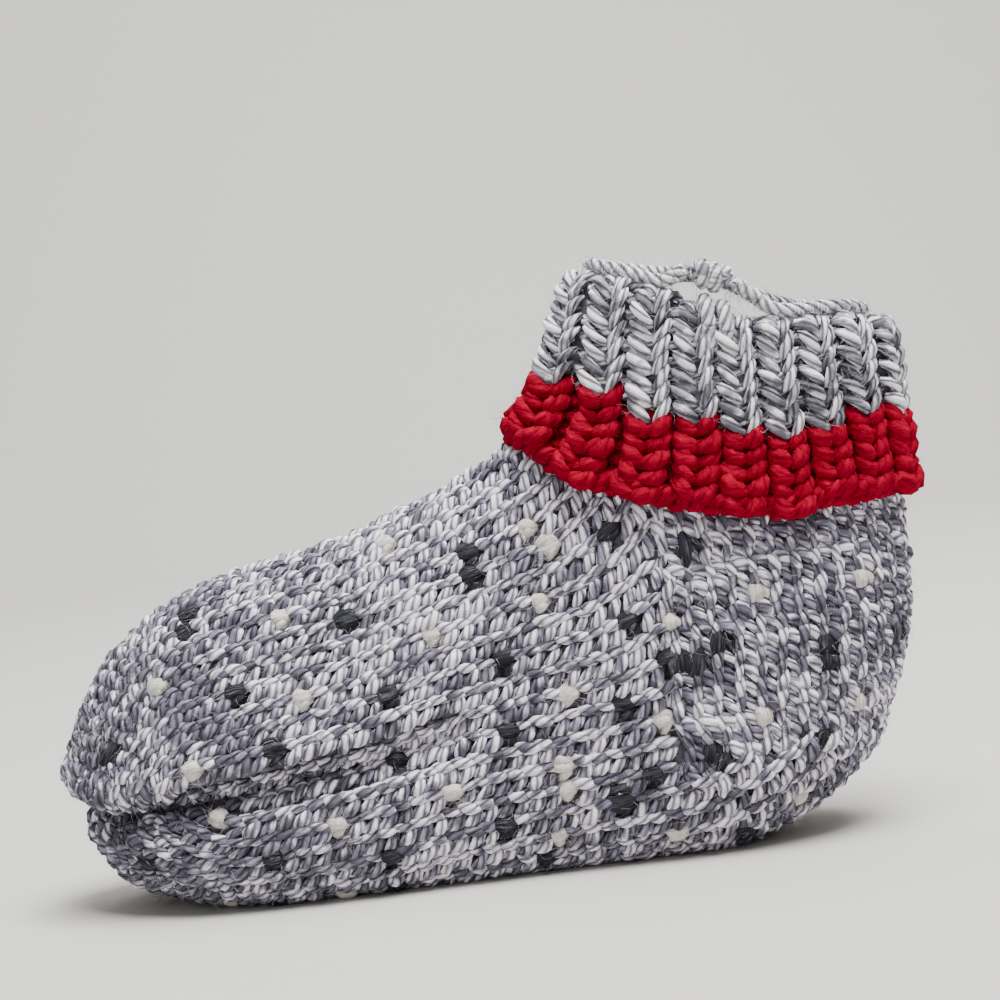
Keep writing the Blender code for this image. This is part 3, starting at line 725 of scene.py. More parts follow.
class Stitches:
    """Places for stitches: point, along the column, out of the fabric, width, pitch, tone, column
    number and course number."""

    PARTS = ("point", "along", "out", "width", "pitch", "tone", "column", "course")

    def __init__(self, point, along, out, width, pitch, tone, column, course):
        self.point, self.width, self.pitch, self.tone = point, width, pitch, tone
        self.column, self.course = column, course
        self.out = unit(out)
        self.along = unit(along - (along * self.out).sum(-1, keepdims=True) * self.out)
        self.across = np.cross(self.out, self.along)

    def keep(self, mask):
        return Stitches(*(getattr(self, part)[mask] for part in self.PARTS))

    def __len__(self):
        return len(self.point)


def together(groups):
    """Stitches of several groups as one."""
    groups = [group for group in groups if len(group)]
    return Stitches(*(np.concatenate([getattr(group, part) for group in groups]) for part in Stitches.PARTS))


def knit(name, stitches, strands, yarn, jitter=JITTER, lift=None, relief=PLY_RELIEF, matted=0.0):
    """One mesh of every strand at every stitch. lift is how high its path stands, if not in yarns.
    relief is how far the plies stand out, and matted how uneven the yarn is, in its thicknesses."""
    blocks, loops, sizes, uvs, tones = [], [], [], [], []
    base = 0
    count = len(stitches)
    for strand in strands:
        grow = 1 + jitter * RNG.standard_normal(count)
        phase = RNG.random(count)
        fuller = 1 + FULLER * jitter * np.clip(RNG.standard_normal(count), -2, 2)
        lumps = matted * RNG.standard_normal((count, len(strand.share)))
        full = fuller[:, None] * (1 + relief * np.sin(PLIES * np.pi * strand.twist(phase)) + lumps)
        stretch = 1 + jitter * RNG.standard_normal(count)
        local = strand.shape(stitches.width * grow, stitches.pitch * stretch, yarn, full, lift)
        local[..., 2] += (yarn * OFF_HEIGHT * RNG.standard_normal(count))[:, None]
        turn = OFF_LINE * jitter * RNG.standard_normal(count)[:, None]
        local[..., 0], local[..., 1] = (local[..., 0] - turn * local[..., 1], local[..., 1] + turn * local[..., 0])
        world = (stitches.point[:, None] + local[..., 0:1] * stitches.across[:, None]
                 + local[..., 1:2] * stitches.along[:, None] + local[..., 2:3] * stitches.out[:, None])
        world[..., 2] = np.maximum(world[..., 2], SOLE_LIFT + SOLE_TUCK * (local[..., 2] < 0))
        size = len(strand.share)
        blocks.append(world.reshape(-1, 3))
        offset = base + size * np.arange(count)
        loops.append((strand.loops[None] + offset[:, None]).ravel())
        sizes.append(np.tile(strand.sizes, count))
        share = strand.share[strand.loops]
        twist = strand.corner_angle[None] + strand.turns * share[None] + phase[:, None]
        onward = np.broadcast_to(share[None] * YARN_ROUNDS, twist.shape) + PHASE_SHIFT * phase[:, None]
        uvs.append(np.stack([twist, onward], axis=-1).reshape(-1, 2))
        tones.append(np.repeat(np.clip(stitches.tone + OFF_TONE * RNG.standard_normal(count), 0, 1), size))
        base += size * count
    points, loops, sizes = np.concatenate(blocks), np.concatenate(loops), np.concatenate(sizes)
    mesh = bpy.data.meshes.new(name)
    mesh.vertices.add(len(points))
    mesh.vertices.foreach_set("co", points.ravel())
    mesh.loops.add(len(loops))
    mesh.loops.foreach_set("vertex_index", loops.astype(np.int32))
    mesh.polygons.add(len(sizes))
    mesh.polygons.foreach_set("loop_start", np.concatenate([[0], np.cumsum(sizes)[:-1]]).astype(np.int32))
    mesh.update(calc_edges=True)
    mesh.uv_layers.new(name="yarn").data.foreach_set("uv", np.concatenate(uvs).ravel())
    mesh.attributes.new("tone", "FLOAT", "POINT").data.foreach_set("value", np.concatenate(tones))
    return mesh


# ---------------------------------------------------------------- columns of stitches
TONES = RNG.random(4096)


def marl_tone(course, column, seed=0.0):
    """Drift from pale to dark along the yarn, which runs round course after course."""
    run = np.mod(course * COURSE_RUN + column * COLUMN_RUN + seed + RUN_START, len(TONES) - 1)
    first = run.astype(int)
    drift = TONES[first] + (run - first) * (TONES[first + 1] - TONES[first])
    slow = np.mod(run / SLOWER + SLOW_START, len(TONES) - 1)
    return DRIFT_SHARE * drift + SLOW_SHARE * TONES[slow.astype(int)]


def painted_light_and_toe_tone(points, on_flap):
    """Painted light and shade in the marl's tone: paler on the instep, where light falls from above, darker low down
    and on the flap, where shade falls; and darker towards the toe.
    """
    toe = np.clip((points[:, 0] - TOE_DARKENS[0]) / (TOE_DARKENS[1] - TOE_DARKENS[0]), 0, 1)
    low = np.clip((LOW_PAINTED_SHADE_Z[0] - points[:, 2]) / (LOW_PAINTED_SHADE_Z[0] - LOW_PAINTED_SHADE_Z[1]), 0, 1)
    instep = np.clip((points[:, 2] - INSTEP_PAINTED_LIGHT_Z[0]) / (INSTEP_PAINTED_LIGHT_Z[1] - INSTEP_PAINTED_LIGHT_Z[0]), 0, 1)
    return INSTEP_PAINTED_LIGHT * instep * ~on_flap + TOE_DARKER * toe + LOW_PAINTED_SHADE * low * ~on_flap + FLAP_PAINTED_SHADE * on_flap


def stitches_along(path, out, width, pitch, start, column, seed=0.0):
    """Stitches at even pitch along one column, whose course 0 lies at index start of the path."""
    length = travelled(path)
    length -= np.interp(start, np.arange(len(path)), length)
    course = np.arange(math.ceil(length[0] / pitch), math.floor(length[-1] / pitch) + 1)
    at = course * pitch
    onward = read_path(at + pitch / 3, length, path) - read_path(at - pitch / 3, length, path)
    return Stitches(read_path(at, length, path), onward, read_path(at, length, out), np.interp(at, length, width),
                    np.full(len(at), pitch), marl_tone(course, column, seed), np.full(len(at), column), course)


def foot_columns():
    """Columns along the foot. Each lobe's columns are counted from its middle, and run out at the
    crease line where the toe narrows."""
    rows = np.arange(0.0, LAST_ROW, ROW_STEP)
    line, girth = crease_share(rows), half_girth(rows)
    reference = np.argmin(np.abs(rows - FULL_ROW))
    made = []
    for upper, full in ((True, (girth * (1 - line))[reference]), (False, (girth * line)[reference])):
        count = round(full / COLUMN + 0.5)
        reach = girth * (1 - line) if upper else girth * line
        width = reach / (count - 0.5)
        width = np.where(rows < TOE_ROW, np.maximum(width, COLUMN * TOE_NARROWS), width)
        for column in range(count):
            offset = column * width / girth
            share = 1 - offset if upper else offset
            margin = RUN_OUT * width / girth
            held = share > line + margin if upper else share < line - margin
            held |= rows > HELD_ROW
            if not held.any():
                continue
            first = np.argmax(held)
            for side in ((1, -1) if column else (1,)):
                r, s = rows[first:], share[first:] if side == 1 else np.mod(2 - share[first:], 2)
                path = skin(r, s, STITCH_DEPTH)
                around = skin(r, np.mod(s + SMALL, 2), STITCH_DEPTH) - skin(r, np.mod(s - SMALL, 2), STITCH_DEPTH)
                out = unit(np.cross(np.gradient(path, axis=0), around))
                number = column * side + (0 if upper else LOWER_NUMBER)
                made.append(stitches_along(path, out, width[first:], COURSE, reference - first, number))
    return together(made)


def flap_edge(stitches):
    """Height of the heel flap's lower edge at each stitch."""
    return np.interp(stitches.point[:, 0], *zip(*FLAP_EDGE))


def flap_columns():
    """Upright columns of the heel flap, from the back round to the picked-up stitches."""
    rows, shares = np.arange(*FLAP_ROWS, ROW_STEP), np.linspace(0, 2, 161)
    grid = skin(*np.meshgrid(rows, shares[:-1], indexing="ij"), STITCH_DEPTH)
    count = len(shares) - 1
    faces = [(i * count + j, i * count + (j + 1) % count, (i + 1) * count + (j + 1) % count, (i + 1) * count + j)
             for i in range(len(rows) - 1) for j in range(count)]
    tree = BVHTree.FromPolygons(grid.reshape(-1, 3).tolist(), faces)
    levels, reach = [], []
    for height in np.arange(*FLAP_HEIGHTS):
        walk = []
        for angle in np.radians(np.arange(0, 160, 2.0)):
            ahead = Vector((-math.cos(angle), math.sin(angle), 0.0))
            hit = tree.ray_cast(Vector((FLAP_AXIS_X, 0.0, height)), ahead)[0]
            if hit is None or hit.x > GUSSET_X:
                break
            walk.append(hit[:])
        walk = np.array(walk)
        length = travelled(walk)
        at = np.linspace(0, 1, FLAP_COLUMNS + 1) * (length[-1] + FLAP_MARGIN)
        levels.append(read_path(at, length, walk))
        reach.append(length[-1])
    paths, reach = np.array(levels), np.array(reach)
    out = unit(np.cross(np.gradient(paths, axis=1), np.gradient(paths, axis=0)))
    out = np.where((out * (paths - np.array([FLAP_AXIS_X, 0, 0]))).sum(-1, keepdims=True) < 0, -out, out)
    made = []
    for column in range(FLAP_COLUMNS + 1):
        for side in ((1, -1) if column else (1,)):
            mirror = np.array([1, side, 1])
            made.append(stitches_along(paths[:, column] * mirror, out[:, column] * mirror,
                                       reach / FLAP_COLUMNS, FLAP_COURSE, FLAP_START, column * side, FLAP_SEED))
    stitches = together(made)
    height = stitches.point[:, 2]
    return stitches.keep((height > flap_edge(stitches) - UNDER_EDGE) & (height < FLAP_TOP))


def rib_columns(rib_shares, depth):
    """Columns of the folded cuff, from inside the collar over the rim and down to the cast-on edge,
    and which of their stitches are red. The red yarn is thicker, so it lies RED_SINK deeper."""
    made, rows_made = [], []
    for number, share in enumerate(rib_shares):
        outer = FLAP_GAP + CUFF_THICKNESS - STITCH_DEPTH - depth
        inner = -WALL + STITCH_DEPTH + min(depth, INNER_DEPTH)
        roll = (outer - inner) / 2
        straight = RIM_RISE - roll - STITCH_DEPTH
        bottom = float(line_row(np.array(share), LOWER_EDGE_ROWS))
        inside, over, outside = RIB_POINTS
        path = [(row, inner, 0.0, -1.0, 0.0) for row in np.linspace(RIB_TOP_ROW, EDGE_ROW, inside)]
        path += [(EDGE_ROW, inner + roll * (1 - math.cos(turn)), straight + roll * math.sin(turn),
                  -math.cos(turn), math.sin(turn)) for turn in np.linspace(0, np.pi, over)]
        path += [(row, outer, 0.0, 1.0, 0.0) for row in np.linspace(EDGE_ROW, bottom, outside)]
        row, offset, onward, outward, upward = np.array(path).T
        shares = np.full(row.shape, share)
        points = cuff_point(row, shares, offset, onward)
        beside = cuff_point(row, np.mod(shares + 1 / RIB_COUNT, 2), offset, onward) \
            - cuff_point(row, np.mod(shares - 1 / RIB_COUNT, 2), offset, onward)
        normal, tangent = directions(dipped(row, shares), shares)
        facing = normal * outward[:, None] + tangent * upward[:, None]
        width = np.linalg.norm(beside, axis=1)
        column = stitches_along(points, facing, width, RIB_COURSE, RIB_START, number, RIB_SEED)
        length = travelled(points)
        at = length[RIB_START] + RIB_COURSE * column.course
        turned = np.concatenate([np.zeros(inside), np.linspace(0, 1, over), np.ones(outside)])
        colour = float(line_row(np.array(share), COLOUR_CHANGE_ROWS))
        red = (np.interp(at, length, turned) >= 1) & (np.interp(at, length, row) < colour - COLOUR_LAP)
        column.point = column.point - column.out * (RED_SINK * red)[:, None]
        made.append(column)
        rows_made.append(red)
    return together(made), np.concatenate(rows_made)


def cast_on():
    """Stitches round the lower edge of the cuff, lying along it."""
    shares = np.linspace(0, 2, 400)
    row = line_row(shares, LOWER_EDGE_ROWS)
    relief = CAST_ON_RELIEF * np.cos(np.pi * RIB_COUNT * shares / 2) ** 4
    width = np.full(shares.shape, CAST_ON_WIDTH)
    made = []
    for deep, onward, facing in CAST_ON_ROPES:
        offset = FLAP_GAP + CUFF_THICKNESS * deep - relief
        points = cuff_point(row, np.mod(shares, 2), offset, onward)
        normal, tangent = directions(dipped(row, np.mod(shares, 2)), np.mod(shares, 2))
        outward = normal * facing - tangent * (1 - facing)
        made.append(stitches_along(points, outward, width, CAST_ON_COURSE, 0, CAST_ON_NUMBER, CAST_ON_SEED))
    return together(made)


# ---------------------------------------------------------------- the strands of each stitch
# Share of a tuft's length, how far its strands fan out there and how high they stand
TUFT_FAN = ((0.0, 0.15, -0.60), (0.22, 0.75, 0.55), (0.5, 1.0, 1.0), (0.78, 0.75, 0.55), (1.0, 0.15, -0.60))
FLAT_LEG = Strand([(0.10, 0.80, -0.52), (0.16, 0.44, 0.08), (0.25, 0.02, 0.28), (0.33, -0.42, 0.12),
                   (0.36, -0.80, -0.52)], (0.52, 0.92, 1.04, 1.04, 0.92, 0.50), 1.02, 0.8)
STEEP_LEG = Strand([(0.06, 0.57, -0.54), (-0.08, 0.41, 0.06), (-0.26, 0.09, 0.27), (-0.42, -0.26, 0.08),
                    (-0.49, -0.55, -0.54)], (0.52, 0.93, 1.06, 1.06, 0.93, 0.48), 1.04, 0.7)
PLAIN_LEGS = tuple(Strand(leg.points, leg.ends, leg.thickness, leg.turns, sides=6, steps=4)
                   for leg in (FLAT_LEG, STEEP_LEG))
RIB_STEEP = Strand([(0.03, 0.66, -0.60), (-0.09, 0.44, 0.05), (-0.22, 0.08, 0.34), (-0.34, -0.26, 0.10),
                    (-0.42, -0.55, -0.70)], (0.55, 0.95, 1.05, 1.05, 0.95, 0.5), 1.08, 0.4)
RIB_FLAT = Strand([(0.08, 0.86, -0.55), (0.16, 0.50, 0.05), (0.25, 0.04, 0.28), (0.32, -0.40, 0.10),
                   (0.34, -0.80, -0.60)], (0.55, 0.92, 1.0, 1.0, 0.92, 0.5), 0.90, 0.5)
RIB_BAR = Strand([(-0.24, -0.30, -0.8), (-0.10, -0.16, -0.55), (0.06, -0.12, -0.50), (0.22, -0.26, -0.8)],
                 (0.6, 1.0, 1.0, 0.6), 0.85, 0.3, steps=4)
PURL_BUMP = Strand([(-0.20, -0.30, -0.4), (-0.12, 0.05, 0.1), (0.0, 0.18, 0.30), (0.12, 0.05, 0.1),
                    (0.20, -0.30, -0.4)], (0.6, 1.0, 1.05, 1.0, 0.6), 0.85, 0.4)
RED_STEEP = Strand([(0.02, 0.34, -0.55), (-0.07, 0.24, 0.18), (-0.19, 0.08, 0.42), (-0.27, -0.28, 0.22),
                    (-0.27, -0.80, -0.30)], (0.50, 0.85, 1.05, 1.15, 1.10, 0.85), 1.46, 0.6)
RED_FLAT = Strand([(-0.02, 0.30, -0.55), (0.07, 0.20, 0.18), (0.19, 0.04, 0.42), (0.27, -0.32, 0.22),
                   (0.27, -0.84, -0.30)], (0.50, 0.85, 1.05, 1.15, 1.10, 0.85), 1.42, 0.6)
ROPE = Strand([(-0.34, -0.72, -0.45), (-0.16, -0.38, 0.15), (0.0, 0.0, 0.35), (0.16, 0.38, 0.15),
               (0.34, 0.72, -0.45)], (0.55, 1.0, 1.08, 1.0, 0.55), 1.15, 0.4)


def bundle(start, end, spread, rise, count, thickness, ends=0.35):
    """Strands of one tuft, drawn together at its ends and fanned out in the middle. ends is how thick
    they're left at the ends."""
    made = []
    for k in range(count):
        side = 2 * k / (count - 1) - 1
        high = rise * (1 - 0.8 * side ** 2)
        reach = 1 - 0.12 * (k % 2) - 0.1 * abs(side)
        points = []
        for share, fan, lift in TUFT_FAN:
            at = 0.5 + (share - 0.5) * reach
            points.append((start[0] + at * (end[0] - start[0]) + side * spread * fan,
                           start[1] + at * (end[1] - start[1]) + 0.10 * side * fan,
                           high * lift if lift > 0 else lift))
        made.append(Strand(points, (ends, 0.9, 1.1, 1.1, 0.9, ends), thickness, 0.15, sides=6, steps=6))
    return made


TUFT_BODY = bundle((0.12, 0.98), (0.30, -0.98), 0.27, 0.52, 5, 0.80)
SOFT_TUFT_BODY = bundle((0.16, 0.88), (0.28, -0.88), 0.22, 0.34, 4, 1.05, ends=0.50)
TUFT_TAIL = bundle((-0.02, 0.55), (-0.42, -0.50), 0.13, 0.38, 3, 0.66)
HAIRS = [Strand([(0, 0, -0.1), (0.3 * bend, 0.3, 0.12), (0.1 * bend, 0.65, 0.22 + 0.2 * lift),
                 (-0.5 * bend, 1.0, 0.2 + 0.6 * lift)], (1.0, 1.0, 0.8, 0.3), 1.0, 0.0, sides=3, steps=3)
         for bend, lift in ((0.6, 0.1), (-0.7, 0.5), (0.3, 1.0), (-0.4, -0.1), (1.0, 0.3))]


def in_frame(points):
    """Pixels of the frame at which the camera sees the points."""
    turned = np.array(view_matrix().inverted())
    seen = points @ turned[:3, :3].T + turned[:3, 3]
    scale = FRAME * VIEW_DISTANCE / VIEW_WIDTH
    return FRAME / 2 + scale * seen[:, :2] * (1, -1) / -seen[:, 2:]


def thrum_stitches(fabric, places, course):
    """Numbers and sizes of the stitches worked with a thrum: the nearest ones to the places on both
    sides, and on the sole every third column at each seventh course."""
    found = {}
    for side, shift in ((1, (0, 0)), (-1, FAR_SHIFT)):
        seen = in_frame(fabric.point * (1, side, 1))
        facing = side * fabric.out[:, 1] > SIDE_FACING
        for x, y, size in places:
            distance = np.where(facing, np.hypot(*(seen - np.add((x, y), shift)).T), FRAME)
            if distance.min() < NEAREST:
                found[int(distance.argmin())] = size
    under = (fabric.out[:, 2] < UNDER_FACING) & (fabric.course % THRUM_COURSES == course) \
        & (np.abs(fabric.column) % THRUM_COLUMNS == course % THRUM_COLUMNS)
    found.update({int(number): 1.0 for number in np.flatnonzero(under)})
    return np.array(list(found)), np.array(list(found.values()))


def tufted(fabric, numbers, sizes, size):
    """Tufts at the numbered stitches, each a little off its stitch."""
    picked = fabric.keep(numbers)
    picked.width, picked.pitch = COLUMN * sizes * size, picked.pitch * sizes * size
    picked.point = picked.point + picked.along * (THRUM_SHIFT * RNG.standard_normal(len(picked)))[:, None]
    return picked


def loose_hairs(name, stitches, each, length, thickness, rise):
    """Hairs that stand a little off the stitches, turned every way."""
    picked = stitches.keep(np.repeat(np.arange(len(stitches)), each))
    count = len(picked)
    spread = RNG.uniform(-0.5, 0.5, (count, 2))
    picked.point = (picked.point + picked.across * (spread[:, :1] * picked.width[:, None])
                    + picked.along * (spread[:, 1:] * picked.pitch[:, None]) + picked.out * HAIR_ROOT)
    turn = RNG.uniform(0, 2 * np.pi, count)[:, None]
    out = unit(picked.out + HAIR_LEAN * RNG.standard_normal((count, 3)))
    upward = picked.out * RNG.uniform(HAIR_DROOP, rise, (count, 1))
    along = picked.along * np.cos(turn) + picked.across * np.sin(turn) + upward
    size = length * RNG.uniform(*HAIR_LENGTHS, count)
    placed = Stitches(picked.point, along, out, size, size, picked.tone, picked.column, picked.course)
    kinds = RNG.integers(0, len(HAIRS), count)
    parts = [knit(name, placed.keep(kinds == kind), (hair,), thickness, lift=placed.width[kinds == kind])
             for kind, hair in enumerate(HAIRS)]
    bm = bmesh.new()
    for part in parts:
        bm.from_mesh(part)
        bpy.data.meshes.remove(part)
    return mesh_of(bm, name)


def add_knit(name, stitches, strands, finish, slot, yarn=YARN, **settings):
    add_piece(name, knit(name, stitches, strands, yarn, **settings), finish)


def add_hairs(name, stitches, each, length, thickness, rise, finish):
    add_piece(name, loose_hairs(name, stitches, each, length, thickness, rise), finish)


def foot_ground(finish):
    """The ground between the foot's stitches, down to the lining, its dark colour painted shade."""
    loops = []
    shares = 2 * np.arange(GROUND_SIDES) / GROUND_SIDES
    rows = np.concatenate([np.arange(0, ANKLE_ROW, 0.33), np.arange(ANKLE_ROW, EDGE_ROW + 0.01, 0.5)])
    for inside, order in ((GROUND_DEPTH, rows), (LINING_DEPTH, rows[::-1])):
        for row in order:
            loops.append(skin(dipped(row, shares), shares, inside))
    add_piece("knitted_foot_ground", shell("knitted_foot_ground", loops, (0, -1)), finish,
              ["knitted_foot"])


def fleece_lining(finish):
    """The matted fleece on the wall's inner face, in soft clumps."""
    shares = 2 * np.arange(LINING_SIDES) / LINING_SIDES
    rows = np.concatenate([np.arange(0.4, ANKLE_ROW, 0.3), np.arange(ANKLE_ROW, LINING_TOP_ROW, 0.3)])
    loops = []
    for face, order in (("outer", rows), ("inner", rows[::-1])):
        for row in order:
            inside = LINING_DEPTH - LINING_LAP
            if face == "inner":
                clump = np.sin(shares * 34 + 1.3 * row) * np.sin(row * 6.1 + 9 * shares) \
                    + np.sin(shares * 71 - 2.1 * row + 1.0)
                inside = WALL + FLEECE_CLUMP * (clump - 1.2 + 0.8 * RNG.random(shares.shape))
            loops.append(skin(dipped(row, shares), shares, inside))
    add_piece("fleece_lining", shell("fleece_lining", loops, (0, -1)), finish)


def cuff_ground(name, finish, replaced, top_line, bottom_line, folded):
    """The ground of a stretch of the cuff."""
    shares = 2 * np.arange(CUFF_SIDES) / CUFF_SIDES
    relief = RIB_VALLEY * np.cos(np.pi * RIB_COUNT * shares / 2) ** 4
    outer = FLAP_GAP + CUFF_THICKNESS - GROUND_DEPTH - relief
    loops = []
    if folded:
        roll = (WALL + FLAP_GAP + CUFF_THICKNESS) / 2
        straight = RIM_RISE - roll
        loops.append(cuff_point(EDGE_ROW, shares, -WALL + RIM_INSET, FOLD_LIFT))
        for turn in np.linspace(0, np.pi, 8):
            share = (1 - np.cos(turn)) / 2
            out = -WALL + RIM_INSET + share * (outer + WALL - RIM_INSET)
            onward = straight + (roll - RIM_INSET) * np.sin(turn)
            loops.append(cuff_point(EDGE_ROW, shares, out, onward))
    top = line_row(shares, top_line) if top_line else EDGE_ROW
    bottom = line_row(shares, bottom_line)
    for share in CUFF_SHARES:
        loops.append(cuff_point(top + share * (bottom - top), shares, outer))
    for share in CUFF_SHARES[::-1]:
        loops.append(cuff_point(top + share * (bottom - top), shares, FLAP_GAP))
    add_piece(name, shell(name, loops), finish, replaced)


# ---------------------------------------------------------------- the tie
def smooth_route(route, step):
    """Points at even steps along one smooth curve through a route's points, in metres."""
    points = np.array(route) / 1000 + np.array(RIM_CROWN)
    padded = extended(points)
    fine = [smooth(*four, share) for four in zip(padded, padded[1:], padded[2:], padded[3:])
            for share in np.linspace(0, 1, ROUTE_SAMPLES, endpoint=False)]
    fine = np.array(fine + [points[-1]])
    length = travelled(fine)
    even = np.linspace(0, length[-1], round(length[-1] / step) + 1)
    return read_path(even, length, fine), length[-1]


def twisted_yarn(name, points, swell):
    """Closed mesh of four plies twisted together along the points, which carries its own UV map.
    swell is how thick the yarn is at each point."""
    sides = TIE_SIDES
    tangents = unit(np.gradient(points, axis=0))
    side = unit(np.cross(tangents[0], [0.31, 0.57, 0.76]))
    lengths = travelled(points)
    bm = bmesh.new()
    uv = bm.loops.layers.uv.new("yarn")
    rings = []
    for point, tangent, length, full in zip(points, tangents, lengths, swell):
        side = unit(side - (side * tangent).sum() * tangent)
        up = np.cross(tangent, side)
        ring = []
        for k in range(sides):
            angle = 2 * math.pi * k / sides
            reach = TIE_DIAMETER / 2 * full * (GROOVE_REACH + PLY_REACH * abs(math.cos(2 * angle)) ** PLY_ROUND)
            turned = angle + 2 * math.pi * length / PLY_TURN
            ring.append(bm.verts.new(point + reach * (math.cos(turned) * side + math.sin(turned) * up)))
        rings.append(ring)
    for i, (ring, following) in enumerate(zip(rings, rings[1:])):
        for k in range(sides):
            j = (k + 1) % sides
            face = bm.faces.new((ring[k], ring[j], following[j], following[k]))
            corners = ((k, i), (k + 1, i), (k + 1, i + 1), (k, i + 1))
            for loop, (step, row) in zip(face.loops, corners):
                loop[uv].uv = (step / sides + 0.5 / PLIES, lengths[row] / YARN_REPEAT)
    for end in (rings[0], rings[-1]):
        bmesh.ops.contextual_create(bm, geom=end)
    bmesh.ops.recalc_face_normals(bm, faces=bm.faces)
    mesh = mesh_of(bm, name)
    tone = 0.5 + TIE_DRIFT * np.sin(np.repeat(lengths, sides) * TIE_WAVES)
    mesh.attributes.new("tone", "FLOAT", "POINT").data.foreach_set("value", tone)
    return mesh


def tie_stretch(node, route, taper=False):
    """One stretch of the tie."""
    points, length = smooth_route(route, TIE_STEP)
    swell = np.interp(np.linspace(0, 1, len(points)), *TIE_TAPER) if taper else np.ones(len(points))
    mesh = twisted_yarn(node + "_yarn", points, swell)
    piece = add_piece(node + "_yarn", mesh, TIE_MARL, [node])


def tie_fuzz(routes, finish):
    """Loose hairs along the tie."""
    points, along = [], []
    for route in routes:
        line, _ = smooth_route(route, FUZZ_STEP)
        points.append(line)
        along.append(np.gradient(line, axis=0))
    points, along = np.concatenate(points), np.concatenate(along)
    count = len(points)
    out = unit(np.cross(unit(along), RNG.standard_normal((count, 3))))
    around = Stitches(points + out * FUZZ_ROOT, along, out, np.full(count, FUZZ_SPREAD),
                      np.full(count, FUZZ_SPREAD), np.full(count, 0.5), np.zeros(count), np.zeros(count))
    add_hairs("tie_fuzz", around, 4, 0.0034, 0.00008, 0.3, finish)


def tie_tip(finish):
    """The matted wool that the tie's end is felted into."""
    points = smooth_route(END_FRONT, TIE_STEP)[0][-TIP_STEPS:]
    swell = np.interp(np.linspace(0, 1, len(points)), *TIP_SWELL)
    swell = swell * (1 + TIP_LUMPS * RNG.standard_normal(len(points)))
    add_piece("tie_tip_felt", twisted_yarn("tie_tip_felt", points, swell), finish)


def tie_knot():
    """The knot: the yarn wound round the tie's strands where they meet."""
    slope = np.array([math.cos(KNOT_SLOPE), 0, -math.sin(KNOT_SLOPE)])
    upright = np.array([math.sin(KNOT_SLOPE), 0, math.cos(KNOT_SLOPE)])
    high, wide = KNOT_RADII
    wound = []
    for t in np.linspace(0, 1, 26):
        turn = KNOT_TURN * t + KNOT_START
        wound.append(np.array(KNOT_PLACE) + slope * (-KNOT_REACH + 2 * KNOT_REACH * t)
                     + upright * high * math.sin(turn) + np.array([0, 1, 0]) * wide * math.cos(turn))
    points, _ = smooth_route(wound, TIE_STEP)
    mesh = twisted_yarn("tie_knot_wraps", points, np.ones(len(points)))
    add_piece("tie_knot_wraps", mesh, TIE_MARL, ["tie_knot"])


# ---------------------------------------------------------------- stage
def stand(place, away):
    """Matrix of a camera or lamp at the place that looks the other way than away."""
    return Matrix.Translation(place) @ away.to_track_quat("Z", "Y").to_matrix().to_4x4()


def view_matrix():
    """Where the camera stands and how it is turned."""
    away = Vector((0, math.cos(VIEW_ELEVATION), math.sin(VIEW_ELEVATION)))
    return stand(VIEW_POINT + away * VIEW_DISTANCE, away) @ Matrix.Rotation(VIEW_ROLL, 4, "Z")


def camera():
    data = bpy.data.cameras.new("camera")
    data.sensor_width = SENSOR
    data.lens = SENSOR * VIEW_DISTANCE / VIEW_WIDTH
    eye = linked("camera", data)
    eye.matrix_world = view_matrix()
    bpy.context.scene.camera = eye


def backdrop():
    """Pale floor that turns up into a pale wall behind."""
    finish = Finish("pale_board", 0.75)
    finish.colour(BOARD_COLOUR)
    bm = bmesh.new()
    profile = [(FLOOR_FRONT, 0.0), (FLOOR_BACK, 0.0)]
    profile += [(FLOOR_BACK - WALL_BEND * math.sin(turn), WALL_BEND - WALL_BEND * math.cos(turn))
                for turn in np.linspace(0.1, math.pi / 2, 10)]
    profile.append((FLOOR_BACK - WALL_BEND, WALL_TOP))
    verts = [bm.verts.new((-FLOOR_SIDE, y, z)) for y, z in profile]
    edges = [bm.edges.new(pair) for pair in zip(verts, verts[1:])]
    made = bmesh.ops.extrude_edge_only(bm, edges=edges)["geom"]
    bmesh.ops.translate(bm, vec=(2 * FLOOR_SIDE, 0, 0), verts=[g for g in made if isinstance(g, bmesh.types.BMVert)])
    bmesh.ops.recalc_face_normals(bm, faces=bm.faces)
    mesh = mesh_of(bm, "floor")
    mesh.shade_smooth()
    mesh.materials.append(finish.material)
    linked("floor", mesh)


def lamp(name, place, aim, size, power):
    data = bpy.data.lights.new(name, "AREA")
    data.size, data.energy = size, power
    linked(name, data).matrix_world = stand(place, Vector(place) - Vector(aim))


def lights():
    world = bpy.data.worlds.new("room")
    bpy.context.scene.world = world
    world.use_nodes = True
    world.node_tree.nodes["Background"].inputs[0].default_value = ROOM_COLOUR
    world.node_tree.nodes["Background"].inputs[1].default_value = ROOM_LIGHT
    for row in LAMPS:
        lamp(*row)


# ---------------------------------------------------------------- the slipper
camera()
backdrop()
lights()

MARL = marl_yarn("marl_yarn", (0.925, 0.888, 0.985, 1), (0.286, 0.268, 0.350, 1), (0.112, 0.103, 0.142, 1))
RIB_MARL = marl_yarn("rib_marl_yarn", (0.95, 0.93, 0.98, 1), (0.360, 0.344, 0.405, 1), (0.134, 0.126, 0.154, 1))
TIE_MARL = marl_yarn("tie_marl_yarn", (0.95, 0.94, 0.965, 1), (0.50, 0.485, 0.54, 1), (0.26, 0.25, 0.29, 1))
RED = red_yarn()
